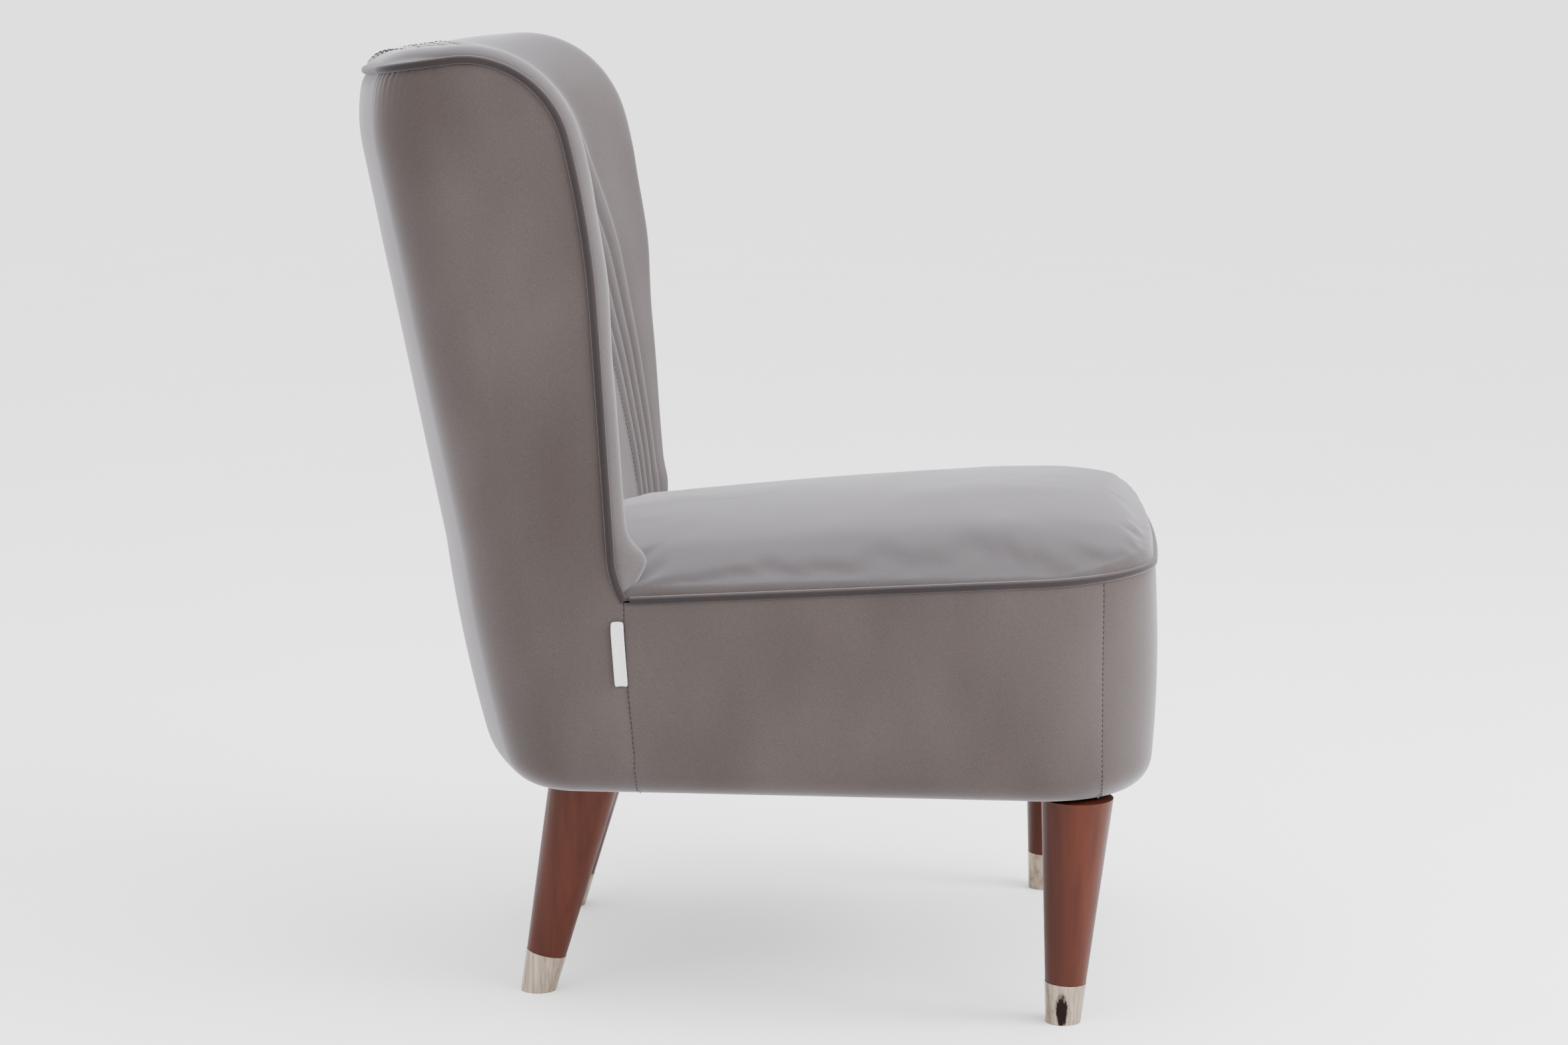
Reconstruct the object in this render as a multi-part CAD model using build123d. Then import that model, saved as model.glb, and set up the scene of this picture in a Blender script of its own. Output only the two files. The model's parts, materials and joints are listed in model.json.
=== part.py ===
"""Armless wing-back accent chair, built piece by piece as an upholsterer would take it apart.

Millimetres, +Z up, the sitter faces -Y. The origin is on the floor under the middle of the chair.
"""

import os
from math import cos, hypot, radians, sin, sqrt, tan

from build123d import *

# Plan of the upholstered body, at its fullest
HALF_WIDTH = 289.0          # side wall, at the front corner
SIDE_REF_Y = -260.0         # where the half width is measured
SIDE_TAPER = 3.6            # degrees that each side wall closes toward the rear
FRONT_Y = -369.0
FRONT_ARC_R = 2400.0
FRONT_CORNER_R = 105.0
REAR_ARC_R = 620.0
REAR_CORNER_R = 70.0
BELLY_RISE = 4.0            # how far the boxed sides swell between welt and hem
BELLY_Z = 320.0
BELLY_REACH = 100.0         # height over which the swelling fades

# Heights and lean
BODY_BOTTOM = 207.0
HEM_R = 28.0                # soft roll of the covers under the body
WELT_FRONT_Z = 413.0        # seat welt at the front edge
SEAT_RAKE = 3.37            # degrees, the welt falls toward the rear
REAR_FOOT_Y = 257.0         # rear of the body at the hem
BACK_LEAN = 11.27           # degrees
REAR_ROLL_Z = 770.0         # outer back starts to curl in to the rim above this
REAR_ROLL_R = 150.0
BODY_LEVELS = (250.0, 320.0, WELT_FRONT_Z, 560.0, 700.0, REAR_ROLL_Z, 800.0, 830.0, 862.0)

# Wing edge, seen from the side: a straight run, a long sweep and the top corner
WING_CORNER_Y = 246.0
WING_CORNER_Z = 766.0
WING_CORNER_R = 90.0
WING_SWEEP_R = 850.0
WING_SWEEP_END = 14.0       # degrees of lean where the sweep meets the top corner
WING_LEAN = 3.5             # degrees of lean of the straight run
RIM_SLOPE = 7.9             # degrees, the rim falls toward the rear
JOIN_Y = 111.0              # seat welt and back welt meet here
WING_HOOK_Z = 428.0         # the wing edge hooks forward to that meeting below this
REAR_SEAM_FOOT_Y = 98.0     # side seam at the hem
SEAM_END = 26.0             # the side seam opens to the welts' meeting over this height
FRONT_SEAM_Y = -310.0

# Inside back
BACK_SEAT_Y = 160.0         # middle of the inside back at seat level
BACK_SEAT_Z = 420.0
INSIDE_LEAN = 12.5          # degrees
INSIDE_ROLL_Z = 760.0       # inside back starts to roll over the rim above this
INSIDE_ROLL_R = 118.0
INSIDE_CURVE = 2.2          # power of the hollow between the wings
WING_ROLL = 13.0            # how far the padded wing edge stands before its welt
WING_EDGE_INSET = 26.0      # crest of that edge, inward from the side wall
FAN_LINES = 5
FAN_FOOT_X = 227.0          # outermost fan line at the seat
FAN_FOOT_STEP = 10.0
FAN_TOP_X = 160.0           # outermost fan line at the rim
FAN_TOP_STEP = 23.5
FAN_BEND = 1.6              # power of the lines' sweep
FOLD_RISE = 0.16            # height of a fold per unit of its width
PANEL_T = 13.0              # quilted inside back cover
PANEL_EDGE_STEP = PANEL_T / 4   # rear of the rolled edge, inward from its crest
REAR_SHARES = (0.75, 0.5, 0.0)  # stations of the cover's rear face across the half width
PANEL_FOOT_H = 372.0
PANEL_SLICES = 10
PANEL_CROWDING = 1.5        # slices stand closer together toward the rim
RIM_CAP_H = 848.0           # above this the cover closes over the rim
RIM_PAD_H = 825.0           # foot of the padding on the top rail
WING_ROLL_FULL = 3.5        # fullness of the rolled wing edge
PANEL_TUCK = 5.0            # the cover's rear edge lies this far behind its welt
PANEL_TUCK_INSET = 16.5
RIM_CROWN = 10.0            # padding above the rim welt
RIM_DRAW = 7.0              # how far that padding draws in at its top
SIDE_BOW = 1.0              # slight outward bow of the rim padding along a wing
RIM_LEAD = 10.0             # the rim padding starts this far before the wing's top

# Seat crown above the welt plane, from the front edge to the back
CROWN_RISE = 48.5
CROWN_STATIONS = ((0.0, 2.0), (6.0, 13.0), (14.0, 21.0), (33.0, 33.0), (72.0, 43.0), (115.0, 47.0),
                  (165.0, CROWN_RISE), (300.0, 47.0), (450.0, 40.0), (545.0, 34.0))
CROWN_FLAT = 0.6            # share of the half width under the flat middle of the crown
CROWN_SHOULDER = 0.735      # share of the rise left at that width
CROWN_SIDE = 0.42           # share left half way from there to the edge

# Covers and fillings
COVER_T = 2.0
SOFT_GAP = 0.3
WADDING_T = 8.0
BACK_PADDING_T = 7.0
LINER_T = 3.0
LINER_GAP = 1.0             # between a post and the liner board
HEM_FLANGE = 60.0           # covers turn under the body to this inset
DUST_INSET = 44.0
DUST_T = 1.0
WELT_R = 3.75
WELT_SINK = 1.0             # centre of a welt below the cover's surface
WELT_GAP = 0.45
FELT_T = 4.0
FELT_Z = 307.4
PADDING_SETBACK = 19.0      # outer back padding stops short of the wing edge
LINER_SPAN = (250.0, 800.0)
FOAM_TOP_H = 770.0
FILL_SINK = 3.0             # fillings are drawn this far into the cover before they are cut to it
FOAM_NOSE_GAP = 1.8         # wing foam before the edge of its panel
SEAT_BACK_GAP = 1.5

# Timber frame
RAIL_INSET = 34.0
RAIL_T = 22.0
RAIL_TOP = 300.0
CORNER_BLOCK_W = 104.0      # front corner block, inward from the half width
FRONT_RAIL_HALF = HALF_WIDTH - CORNER_BLOCK_W
BLOCK_REAR_Y = -235.0
WING_PANEL_T = 15.0
WING_PANEL_FOOT = 234.0
WING_PANEL_SETBACK = 26.0
PANEL_CORNER_EASE = 1.5     # rear top corner of a wing panel, forward of its post's rear face
POST_W = 36.0
POST_D = 30.0
POST_FOOT_Y = 150.0         # front face of a post at its foot
POST_FOOT = 210.5
POST_TOP = 812.0
TOP_RAIL_Y = 330.0
TOP_RAIL_T = 25.0
TOP_RAIL_Z = 760.0
LOWER_RAIL_Y = 186.0
LOWER_RAIL_T = 20.0
LOWER_RAIL_Z = 330.0
LOWER_RAIL_H = 42.0
REAR_RAIL_Y = 215.0
LEG_BOARD_T = 26.0
LEG_BOARD_FRONT = 100.0

# Suspension
SPRINGS = 4
SPRING_STEP = 90.0
SPRING_WIRE_R = 1.8
SPRING_RUN = 24.0
SPRING_RUNS = 20
SPRING_Z = 303.5
CLIP_SIZE = (22.0, 12.0, 7.0)
CLIP_BORE = 0.1
STRAPS = 4
STRAP_H = 50.0
STRAP_T = 1.6
STRAP_FOOT_Z = 440.0
STRAP_STEP = 95.0
STRAP_HALF = 205.0
POST_SKEW = 2.4             # a post's inner front edge stands this far before its middle

# Legs and their fasteners
FRONT_LEG_INSET = 54.0      # foot, inward from the half width
REAR_LEG_INSET = 138.0
FRONT_FOOT = (HALF_WIDTH - FRONT_LEG_INSET, -279.5)
REAR_FOOT = (HALF_WIDTH - REAR_LEG_INSET, 201.0)
FRONT_RAKE = 2.9            # degrees
REAR_RAKE = 12.5
LEG_FOOT_R = 15.5
LEG_TOP_R = 32.0
FERRULE_H = 37.0
FERRULE_T = 1.2
FERRULE_PROUD = 0.3
FERRULE_FIT = 0.1
BOLT_R = 4.0
BOLT_IN_LEG = 38.0
BOLT_ABOVE = 36.0
TNUT_FLANGE_R = 9.0
TNUT_FLANGE_T = 1.6
TNUT_BARREL_R = 5.2
TNUT_BARREL = 9.0
TNUT_SEAT = 24.0            # flange above the body's underside
TNUT_POCKET_R = 11.0
BORE_FIT = 0.1
DOWEL_R = 4.0
DOWEL_L = 44.0
DOWEL_DROPS = (27.0, 64.0)  # below the rails' top
DOWEL_SETBACK = 6.5         # pins stand this far before the front rail's rear face
SCREW_R = 2.2
SCREW_HEAD_R = 4.4
SCREW_HEAD_H = 2.6
STAPLE_SPAN = 10.0
STAPLE_WIRE = 1.0
STAPLE_DEPTH = 9.0
STAPLE_INSET = 51.0
STAPLE_SET_IN = 1.0         # front staples stand this far behind that line
STAPLES_FRONT = 6
STAPLES_SIDE = 6
STAPLE_STEP = 58.0
STAPLE_SIDE_Y = -210.0
WING_SCREW_Z = (440.0, 580.0, 720.0)
WING_RAIL_SCREW_Y = 146.0
LOW_SCREW_Z = 255.0
WING_SCREW_L = 36.0
BOARD_SCREW_X = (-110.0, 0.0, 110.0)
BOARD_SCREW_L = 58.0

# Sewn-in tag, blank
TAG_FOOT_Z = 309.0
TAG_H = 58.0
TAG_W = 11.0
TAG_T = 1.1
TAG_PROUD = 0.4
TAG_SEAM_SHARE = 0.75       # how far up the seam's lean the tag is sewn

FAR = 600.0                 # safely outside the chair
CUT_OVER = 1.0              # a cut runs past the face it opens by this
TAPER_SIN = sin(radians(SIDE_TAPER))
TAPER_COS = cos(radians(SIDE_TAPER))
RIM_FALL = tan(radians(RIM_SLOPE))
RIM_H = WING_CORNER_Z + WING_CORNER_R / cos(radians(RIM_SLOPE))
HEM_TOP = BODY_BOTTOM + COVER_T
PANEL_TOP_H = RIM_H + RIM_CROWN


def save(name, shape):
    """Writes one node."""
    export_step(shape, f"parts/{name}.step")


def save_pair(name, left):
    """Writes a left piece and its mirror image."""
    save(f"{name}_left", left)
    save(f"{name}_right", mirrored(left))


def mirrored(shape):
    """The same piece on the other side of the chair."""
    return mirror(shape, about=Plane.YZ)


def side_x(y, inset=0.0):
    """Half width of the body at y, drawn in from the side wall."""
    return HALF_WIDTH - inset / TAPER_COS - (y - SIDE_REF_Y) * TAPER_SIN / TAPER_COS


def belly(z):
    """How far the side walls draw in at a height, from their fullest."""
    height = min(z, WELT_FRONT_Z) - BELLY_Z
    return BELLY_RISE * (height / BELLY_REACH) ** 2


def rear_y(z):
    """Rear of the body on the centre line."""
    lean = tan(radians(BACK_LEAN)) * (z - BODY_BOTTOM)
    return REAR_FOOT_Y + lean - max(0.0, z - REAR_ROLL_Z) ** 2 / (2 * REAR_ROLL_R)


def welt_z(y):
    """Height of the seat welt's plane."""
    return WELT_FRONT_Z - tan(radians(SEAT_RAKE)) * (y - FRONT_Y)


def toward(centre, radius, aim_x, aim_y):
    """Point on a circle in a given direction."""
    share = radius / hypot(aim_x, aim_y)
    return (centre[0] + aim_x * share, centre[1] + aim_y * share)


def corner_centre(radius, arc_y, arc_radius, side):
    """Centre of a corner arc that touches the side wall and, from inside, the front or rear arc."""
    base_x = HALF_WIDTH - radius * TAPER_COS
    base_y = SIDE_REF_Y - radius * TAPER_SIN - arc_y
    along = base_y * TAPER_COS - base_x * TAPER_SIN
    run = sqrt(along**2 - base_x**2 - base_y**2 + (arc_radius - radius) ** 2)
    step = side * run - along
    return (base_x - step * TAPER_SIN, base_y + arc_y + step * TAPER_COS)


def plan_points(z, inset):
    """Left half of the body's plan at a height: ends and middles of its arcs, front to rear."""
    draw = inset + belly(z)
    front_axis = (0.0, FRONT_Y + FRONT_ARC_R)
    rear_axis = (0.0, rear_y(z) - REAR_ARC_R)
    front = corner_centre(FRONT_CORNER_R, front_axis[1], FRONT_ARC_R, -1)
    rear = corner_centre(REAR_CORNER_R, rear_axis[1], REAR_ARC_R, 1)
    front_r = FRONT_CORNER_R - draw
    rear_r = REAR_CORNER_R - draw
    a = toward(front_axis, FRONT_ARC_R - draw, front[0], front[1] - front_axis[1])
    b = toward(front, front_r, TAPER_COS, TAPER_SIN)
    c = toward(rear, rear_r, TAPER_COS, TAPER_SIN)
    d = toward(rear_axis, REAR_ARC_R - draw, rear[0], rear[1] - rear_axis[1])
    front_mid = toward(front, front_r, a[0] + b[0] - 2 * front[0], a[1] + b[1] - 2 * front[1])
    rear_mid = toward(rear, rear_r, c[0] + d[0] - 2 * rear[0], c[1] + d[1] - 2 * rear[1])
    return {"nose": (0.0, FRONT_Y + draw), "a": a, "front_mid": front_mid, "b": b, "c": c,
            "rear_mid": rear_mid, "d": d, "tail": (0.0, rear_y(z) - draw)}


def plan_wire(z, inset):
    """Closed plan of the body at a height."""
    p = plan_points(z, inset)

    def at(name, side=1):
        return (side * p[name][0], p[name][1], z)

    edges = [ThreePointArc(at("a", -1), at("nose"), at("a"))]
    edges.append(ThreePointArc(at("a"), at("front_mid"), at("b")))
    edges.append(Line(at("b"), at("c")))
    edges.append(ThreePointArc(at("c"), at("rear_mid"), at("d")))
    edges.append(ThreePointArc(at("d"), at("tail"), at("d", -1)))
    edges.append(ThreePointArc(at("d", -1), at("rear_mid", -1), at("c", -1)))
    edges.append(Line(at("c", -1), at("b", -1)))
    edges.append(ThreePointArc(at("b", -1), at("front_mid", -1), at("a", -1)))
    return Wire(edges)


def body_column(inset):
    """The body's outer form, drawn in by an inset and carried up past the rim."""
    foot = BODY_BOTTOM + inset
    levels = (foot, *BODY_LEVELS)
    column = Solid.make_loft([plan_wire(z, inset) for z in levels])
    hem = column.edges().filter_by_position(Axis.Z, foot - 0.1, foot + 0.1)
    return column.fillet(HEM_R - inset, hem)


def plan_prism(inset, foot, top):
    """Upright prism of the body's fullest plan."""
    base = Face(plan_wire(BELLY_Z, inset)).moved(Location((0, 0, foot - BELLY_Z)))
    return Solid.extrude(base, Vector(0, 0, top - foot))


def block(x_span, y_span, z_span):
    """Box between two limits on each axis."""
    size = [span[1] - span[0] for span in (x_span, y_span, z_span)]
    centre = [(span[1] + span[0]) / 2 for span in (x_span, y_span, z_span)]
    return Pos(*centre) * Box(*size)


def side_prism(edges):
    """Prism across the whole chair from a closed outline seen from the side."""
    face = Face(Wire(edges)).moved(Location((-FAR, 0, 0)))
    return Solid.extrude(face, Vector(2 * FAR, 0, 0))


def line_yz(start, end):
    """Straight edge of a side outline."""
    return Line((0, *start), (0, *end))


def arc_yz(start, middle, end):
    """Arc of a side outline."""
    return ThreePointArc((0, *start), (0, *middle), (0, *end))


def wing_arc_point(degrees, offset, radius=WING_CORNER_R):
    """Point of the wing's top corner where its edge leans by some degrees, moved rearward inside."""
    lean = radians(degrees)
    reach = radius - offset
    return (WING_CORNER_Y - reach * cos(lean), WING_CORNER_Z + reach * sin(lean))


def wing_sweep_point(degrees, offset):
    """Point of the wing's long sweep where its edge leans by some degrees, moved inside."""
    end = radians(WING_SWEEP_END)
    centre_y = WING_CORNER_Y + (WING_SWEEP_R - WING_CORNER_R) * cos(end)
    centre_z = WING_CORNER_Z - (WING_SWEEP_R - WING_CORNER_R) * sin(end)
    lean = radians(degrees)
    reach = WING_SWEEP_R - offset
    return (centre_y - reach * cos(lean), centre_z + reach * sin(lean))


def wing_line_y(z, offset=0.0):
    """Wing edge on its straight run."""
    top = wing_sweep_point(WING_LEAN, offset)
    return top[0] - tan(radians(WING_LEAN)) * (top[1] - z)


def wing_y(z, offset=0.0):
    """Wing edge at a height; a negative offset stands before it."""
    corner = wing_arc_point(WING_SWEEP_END, offset)
    sweep = wing_sweep_point(WING_LEAN, offset)
    if z >= corner[1]:
        rise = min(z - WING_CORNER_Z, WING_CORNER_R - offset)
        return WING_CORNER_Y - sqrt((WING_CORNER_R - offset) ** 2 - rise**2)
    if z >= sweep[1]:
        flat = wing_sweep_point(0.0, offset)
        reach = WING_SWEEP_R - offset
        return flat[0] + reach - sqrt(reach**2 - (z - flat[1]) ** 2)
    return wing_line_y(z, offset)


def rim_z(y, h=RIM_H):
    """Height of the rim's plane, or of one beside it."""
    return h - RIM_FALL * (y - WING_CORNER_Y)


def wing_edges(offset, foot):
    """Wing edge from its foot over the top corner, as side-view edges."""
    low = wing_sweep_point(WING_LEAN, offset)
    middle = wing_sweep_point((WING_LEAN + WING_SWEEP_END) / 2, offset)
    high = wing_arc_point(WING_SWEEP_END, offset)
    crown = 90.0 + RIM_SLOPE
    shoulder = wing_arc_point((WING_SWEEP_END + crown) / 2, offset)
    end = wing_arc_point(crown, offset)
    edges = [line_yz((wing_line_y(foot, offset), foot), low)]
    edges.append(arc_yz(low, middle, high))
    edges.append(arc_yz(high, shoulder, end))
    return edges, end


def back_region(offset):
    """Everything behind the side seams and the wing edges, kept back from them by an offset."""
    edges, end = wing_edges(offset, WING_HOOK_Z)
    start = (wing_line_y(WING_HOOK_Z, offset), WING_HOOK_Z)
    join = (JOIN_Y + offset, welt_z(JOIN_Y))
    hook = ((start[0] * 2 + join[0]) / 3, (start[1] + join[1]) / 2)
    foot = (REAR_SEAM_FOOT_Y + SOFT_GAP, BODY_BOTTOM - HEM_R)
    seam = (JOIN_Y + SOFT_GAP, welt_z(JOIN_Y) - SEAM_END)
    tail = (FAR, rim_z(FAR, RIM_H - offset / cos(radians(RIM_SLOPE))))
    outline = [line_yz(foot, seam), line_yz(seam, join), arc_yz(join, hook, start)] + edges
    outline.append(line_yz(end, tail))
    outline.append(line_yz(tail, (FAR, foot[1])))
    outline.append(line_yz((FAR, foot[1]), foot))
    return side_prism(outline)


def seat_region(offset):
    """Everything under the seat welt's plane and before the rear side seam."""
    join = (JOIN_Y - offset, welt_z(JOIN_Y) - offset)
    foot = (REAR_SEAM_FOOT_Y - SOFT_GAP, BODY_BOTTOM - HEM_R)
    seam = (JOIN_Y - SOFT_GAP, welt_z(JOIN_Y) - SEAM_END)
    nose = (-FAR, welt_z(-FAR) - offset)
    corner = (-FAR, foot[1])
    return side_prism([line_yz(foot, seam), line_yz(seam, join), line_yz(join, nose),
                       line_yz(nose, corner), line_yz(corner, foot)])


def slice_point(x, y, h):
    """Point of the back's slice h; slices tilt from level at the seat to the rim's slope."""
    tilt = RIM_FALL * min(1.0, max(0.0, (h - BACK_SEAT_Z) / (RIM_H - BACK_SEAT_Z)))
    return (x, y, h + tilt * (WING_CORNER_Y - y))


def slice_edge_y(h, offset=0.0):
    """Wing edge on a slice."""
    y = wing_y(h, offset)
    for _ in range(4):
        y = wing_y(slice_point(0, y, h)[2], offset)
    return y


def inside_y(x, h, crest):
    """Inside back on a slice: hollow between the padded wing edges."""
    lean = tan(radians(INSIDE_LEAN)) * (h - BACK_SEAT_Z)
    rise = max(0.0, h - INSIDE_ROLL_Z)
    roll = INSIDE_ROLL_R - sqrt(INSIDE_ROLL_R**2 - rise**2)
    middle = BACK_SEAT_Y + lean + roll
    return middle - (middle - crest[1]) * (abs(x) / crest[0]) ** INSIDE_CURVE


def fan_x(line, h):
    """Distance of a fan line from the centre on a slice."""
    rise = min(1.0, max(0.0, (h - BACK_SEAT_Z) / (PANEL_TOP_H - BACK_SEAT_Z)))
    foot = FAN_FOOT_X - line * FAN_FOOT_STEP
    top = FAN_TOP_X - line * FAN_TOP_STEP
    return foot - (foot - top) * rise**FAN_BEND


def chain(points, h):
    """Arcs through start, middle, end, middle, end and so on of one slice."""
    placed = [slice_point(x, y, h) for x, y in points]
    return [ThreePointArc(*placed[i:i + 3]) for i in range(0, len(placed) - 2, 2)]


def both_halves(points):
    """A left half from its wing to the centre, carried on to the right wing."""
    return points + [(-x, y) for x, y in reversed(points[:-1])]


def crest_point(h):
    """Crest of the padded wing edge on a slice."""
    y = slice_edge_y(h, -WING_ROLL)
    return (side_x(y, WING_EDGE_INSET), y)


def panel_edge_y(h):
    """Where the inside back cover meets the welt on a slice."""
    return min(slice_edge_y(min(h, RIM_H)), WING_CORNER_Y - RIM_LEAD)


def panel_front(h):
    """Quilted face of the inside back on a slice, from the left welt to the centre."""
    edge_y = panel_edge_y(h)
    crest = crest_point(h)
    welt_side = 2 * WELT_R + WELT_SINK + belly(WELT_FRONT_Z) - WELT_R + WELT_GAP
    start = (side_x(edge_y, welt_side + rim_draw(h)), edge_y + rim_draw(h))
    points = [start, ((start[0] + crest[0]) / 2 + WING_ROLL_FULL, (start[1] + 2 * crest[1]) / 3), crest]
    lines = [fan_x(line, h) for line in range(FAN_LINES)]
    last = crest[0]
    for x in lines:
        middle = (last + x) / 2
        rise = FOLD_RISE * (last - x) if last != crest[0] else 0.0
        points.append((middle, inside_y(middle, h, crest) - rise))
        points.append((x, inside_y(x, h, crest)))
        last = x
    points.append((0.0, inside_y(0.0, h, crest)))
    return points


def rim_draw(h):
    """How far the rim padding draws in above its welt."""
    return RIM_DRAW * max(0.0, (h - RIM_H) / RIM_CROWN) ** 2


def panel_back(h, gap=0.0):
    """Rear face of the inside back cover on a slice, from the left wing to the centre."""
    edge_y = panel_edge_y(h)
    crest = crest_point(h)
    depth = PANEL_T + gap
    wing = (crest[0] - PANEL_EDGE_STEP, crest[1] + depth)
    start = (side_x(edge_y, PANEL_TUCK_INSET + abs(gap)), edge_y + PANEL_TUCK + gap)
    points = [start, ((start[0] + wing[0]) / 2, (start[1] + 2 * wing[1]) / 3), wing]
    for share in REAR_SHARES:
        x = wing[0] * share
        points.append((x, inside_y(x, h, crest) + depth))
    return points


def rim_back(h, inset):
    """Outline of the rim inside its welt on a slice, from the left wing to the centre."""
    edge_y = panel_edge_y(h) + PANEL_TUCK + rim_draw(h)
    plan = plan_points(REAR_ROLL_Z, inset + rim_draw(h))
    shift = rear_y(min(h, RIM_H)) - rear_y(REAR_ROLL_Z)
    c, m, d, tail = [(plan[k][0], plan[k][1] + shift) for k in ("c", "rear_mid", "d", "tail")]
    start = (side_x(edge_y, PANEL_TUCK_INSET + rim_draw(h)), edge_y)
    return [start, ((start[0] + c[0]) / 2 + SIDE_BOW, (start[1] + c[1]) / 2), c, m, d, tail]


def closed_slice(front, rear, h):
    """Closed slice of the back between a left half of its front and of its rear."""
    front = both_halves(front)
    rear = both_halves(rear)
    left = [slice_point(*front[0], h), slice_point(*rear[0], h)]
    right = [slice_point(*front[-1], h), slice_point(*rear[-1], h)]
    edges = chain(front, h) + [Line(right[0], right[1])]
    edges += chain(rear[::-1], h) + [Line(left[1], left[0])]
    return Wire(edges)


def panel_sheet(gap):
    """Quilted sheet of the inside back up to the rim, with a gap added behind it."""
    steps = PANEL_SLICES - 1
    rise = RIM_CAP_H - PANEL_FOOT_H
    levels = [PANEL_FOOT_H + rise * (1 - (1 - step / steps) ** PANEL_CROWDING) for step in range(PANEL_SLICES)]
    return Solid.make_loft([closed_slice(panel_front(h), panel_back(h, gap), h) for h in levels])


def make_inside_back_cover():
    """Quilted inside back with its fan of folds, rolled over the wing edges and the rim."""
    sheet = panel_sheet(0.0)
    tops = (RIM_CAP_H, RIM_H, RIM_H + RIM_CROWN / 2, PANEL_TOP_H)
    cap = Solid.make_loft([closed_slice(panel_front(h), rim_back(h, 2 * WELT_R), h) for h in tops])
    return sheet + cap


def make_rim_padding():
    """Foam roll on the top rail under the rim's cap, between the wing panels."""
    levels = (RIM_PAD_H, (RIM_PAD_H + RIM_CAP_H) / 2, RIM_CAP_H - SOFT_GAP)
    inset = PANEL_TUCK_INSET
    roll = Solid.make_loft([closed_slice(panel_back(h, -FILL_SINK), rim_back(h, inset), h) for h in levels])
    return between_boards(roll, RAIL_INSET + SOFT_GAP) - panel_sheet(SOFT_GAP)


def back_space():
    """Room taken by the back, which the seat's pieces stop short of."""
    wires = []
    for h in (RAIL_TOP, BACK_SEAT_Z, WELT_FRONT_Z + 2 * CROWN_RISE):
        crest = crest_point(h)
        lead = crest[1] - SEAT_BACK_GAP
        middle = (0.0, inside_y(0.0, h, crest) - SEAT_BACK_GAP)
        ends = [slice_point(side * crest[0], lead, h) for side in (1, -1)]
        outer = [slice_point(side * FAR, lead, h) for side in (1, -1)]
        rear = [slice_point(side * FAR, FAR, h) for side in (1, -1)]
        edges = [ThreePointArc(ends[1], slice_point(*middle, h), ends[0]), Line(ends[0], outer[0])]
        edges += [Line(outer[0], rear[0]), Line(rear[0], rear[1]), Line(rear[1], outer[1])]
        edges.append(Line(outer[1], ends[1]))
        wires.append(Wire(edges))
    return Solid.make_loft(wires, True)


def crown_wire(station, rise, drop):
    """Cross-section of the seat's crown at a distance from the front edge."""
    y = FRONT_Y + station
    base = welt_z(y) - drop
    foot = BODY_BOTTOM
    half = HALF_WIDTH
    flat = half * CROWN_FLAT
    shoulder = base + rise * CROWN_SHOULDER
    side = (half + flat) / 2
    lift = base + rise * CROWN_SIDE
    edges = [ThreePointArc((-flat, y, shoulder), (0, y, base + rise), (flat, y, shoulder))]
    edges.append(ThreePointArc((flat, y, shoulder), (side, y, lift), (half, y, base)))
    edges.append(Line((half, y, base), (half, y, foot)))
    edges.append(Line((half, y, foot), (-half, y, foot)))
    edges.append(Line((-half, y, foot), (-half, y, base)))
    edges.append(ThreePointArc((-half, y, base), (-side, y, lift), (-flat, y, shoulder)))
    return Wire(edges)


def under_crown(drop):
    """Everything under the seat's crowned top, lowered by a layer's depth."""
    return Solid.make_loft([crown_wire(station, rise, drop) for station, rise in CROWN_STATIONS], True)


def make_seat(space):
    """Seat top cover, wadding and foam."""
    cover_foot = COVER_T + SOFT_GAP
    wadding_foot = cover_foot + WADDING_T
    foam_top = wadding_foot + SOFT_GAP
    edge = WELT_SINK + belly(WELT_FRONT_Z) + WELT_R + WELT_GAP
    wide = plan_prism(edge, BODY_BOTTOM, RAIL_TOP + FAR)
    cover = (under_crown(0.0) & wide) - under_crown(COVER_T)
    wadding = (under_crown(cover_foot) & wide) - under_crown(wadding_foot)
    platform = plan_prism(RAIL_INSET + 2 * SOFT_GAP, FELT_Z, FELT_Z + FELT_T)
    foam = plan_prism(RAIL_INSET, FELT_Z + FELT_T + SOFT_GAP, RAIL_TOP + FAR) & under_crown(foam_top)
    save("seat_top_cover", cover - space)
    save("seat_wadding", wadding - space)
    save("seat_foam", foam - space)
    save("seat_platform", platform - space)
    return foam_top


def make_base_covers(shell, foam_top, space):
    """Front band, side covers and the padding behind them."""
    opening = plan_prism(HEM_FLANGE, 0.0, BODY_BOTTOM + HEM_R)
    boxing = (shell - opening) & seat_region(WELT_R + WELT_GAP)
    front = block((-FAR, FAR), (-FAR, FRONT_SEAM_Y), (0, FAR))
    left = block((0, FAR), (FRONT_SEAM_Y, FAR), (0, FAR))
    save("front_band_cover", boxing & front)
    save_pair("side_cover", boxing & left)
    crown = under_crown(foam_top)
    core = plan_prism(RAIL_INSET - SOFT_GAP, 0.0, FAR)
    wall = (body_column(COVER_T + SOFT_GAP) & seat_region(WELT_R + WELT_GAP) & crown) - core
    edge = WELT_SINK + belly(WELT_FRONT_Z) + WELT_R + WELT_GAP
    lip = plan_prism(edge, RAIL_TOP, FAR) & crown & block((-FAR, FAR), (-FAR, REAR_SEAM_FOOT_Y), (0, FAR))
    save("base_padding", (wall + (lip - core)) - space)


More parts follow.
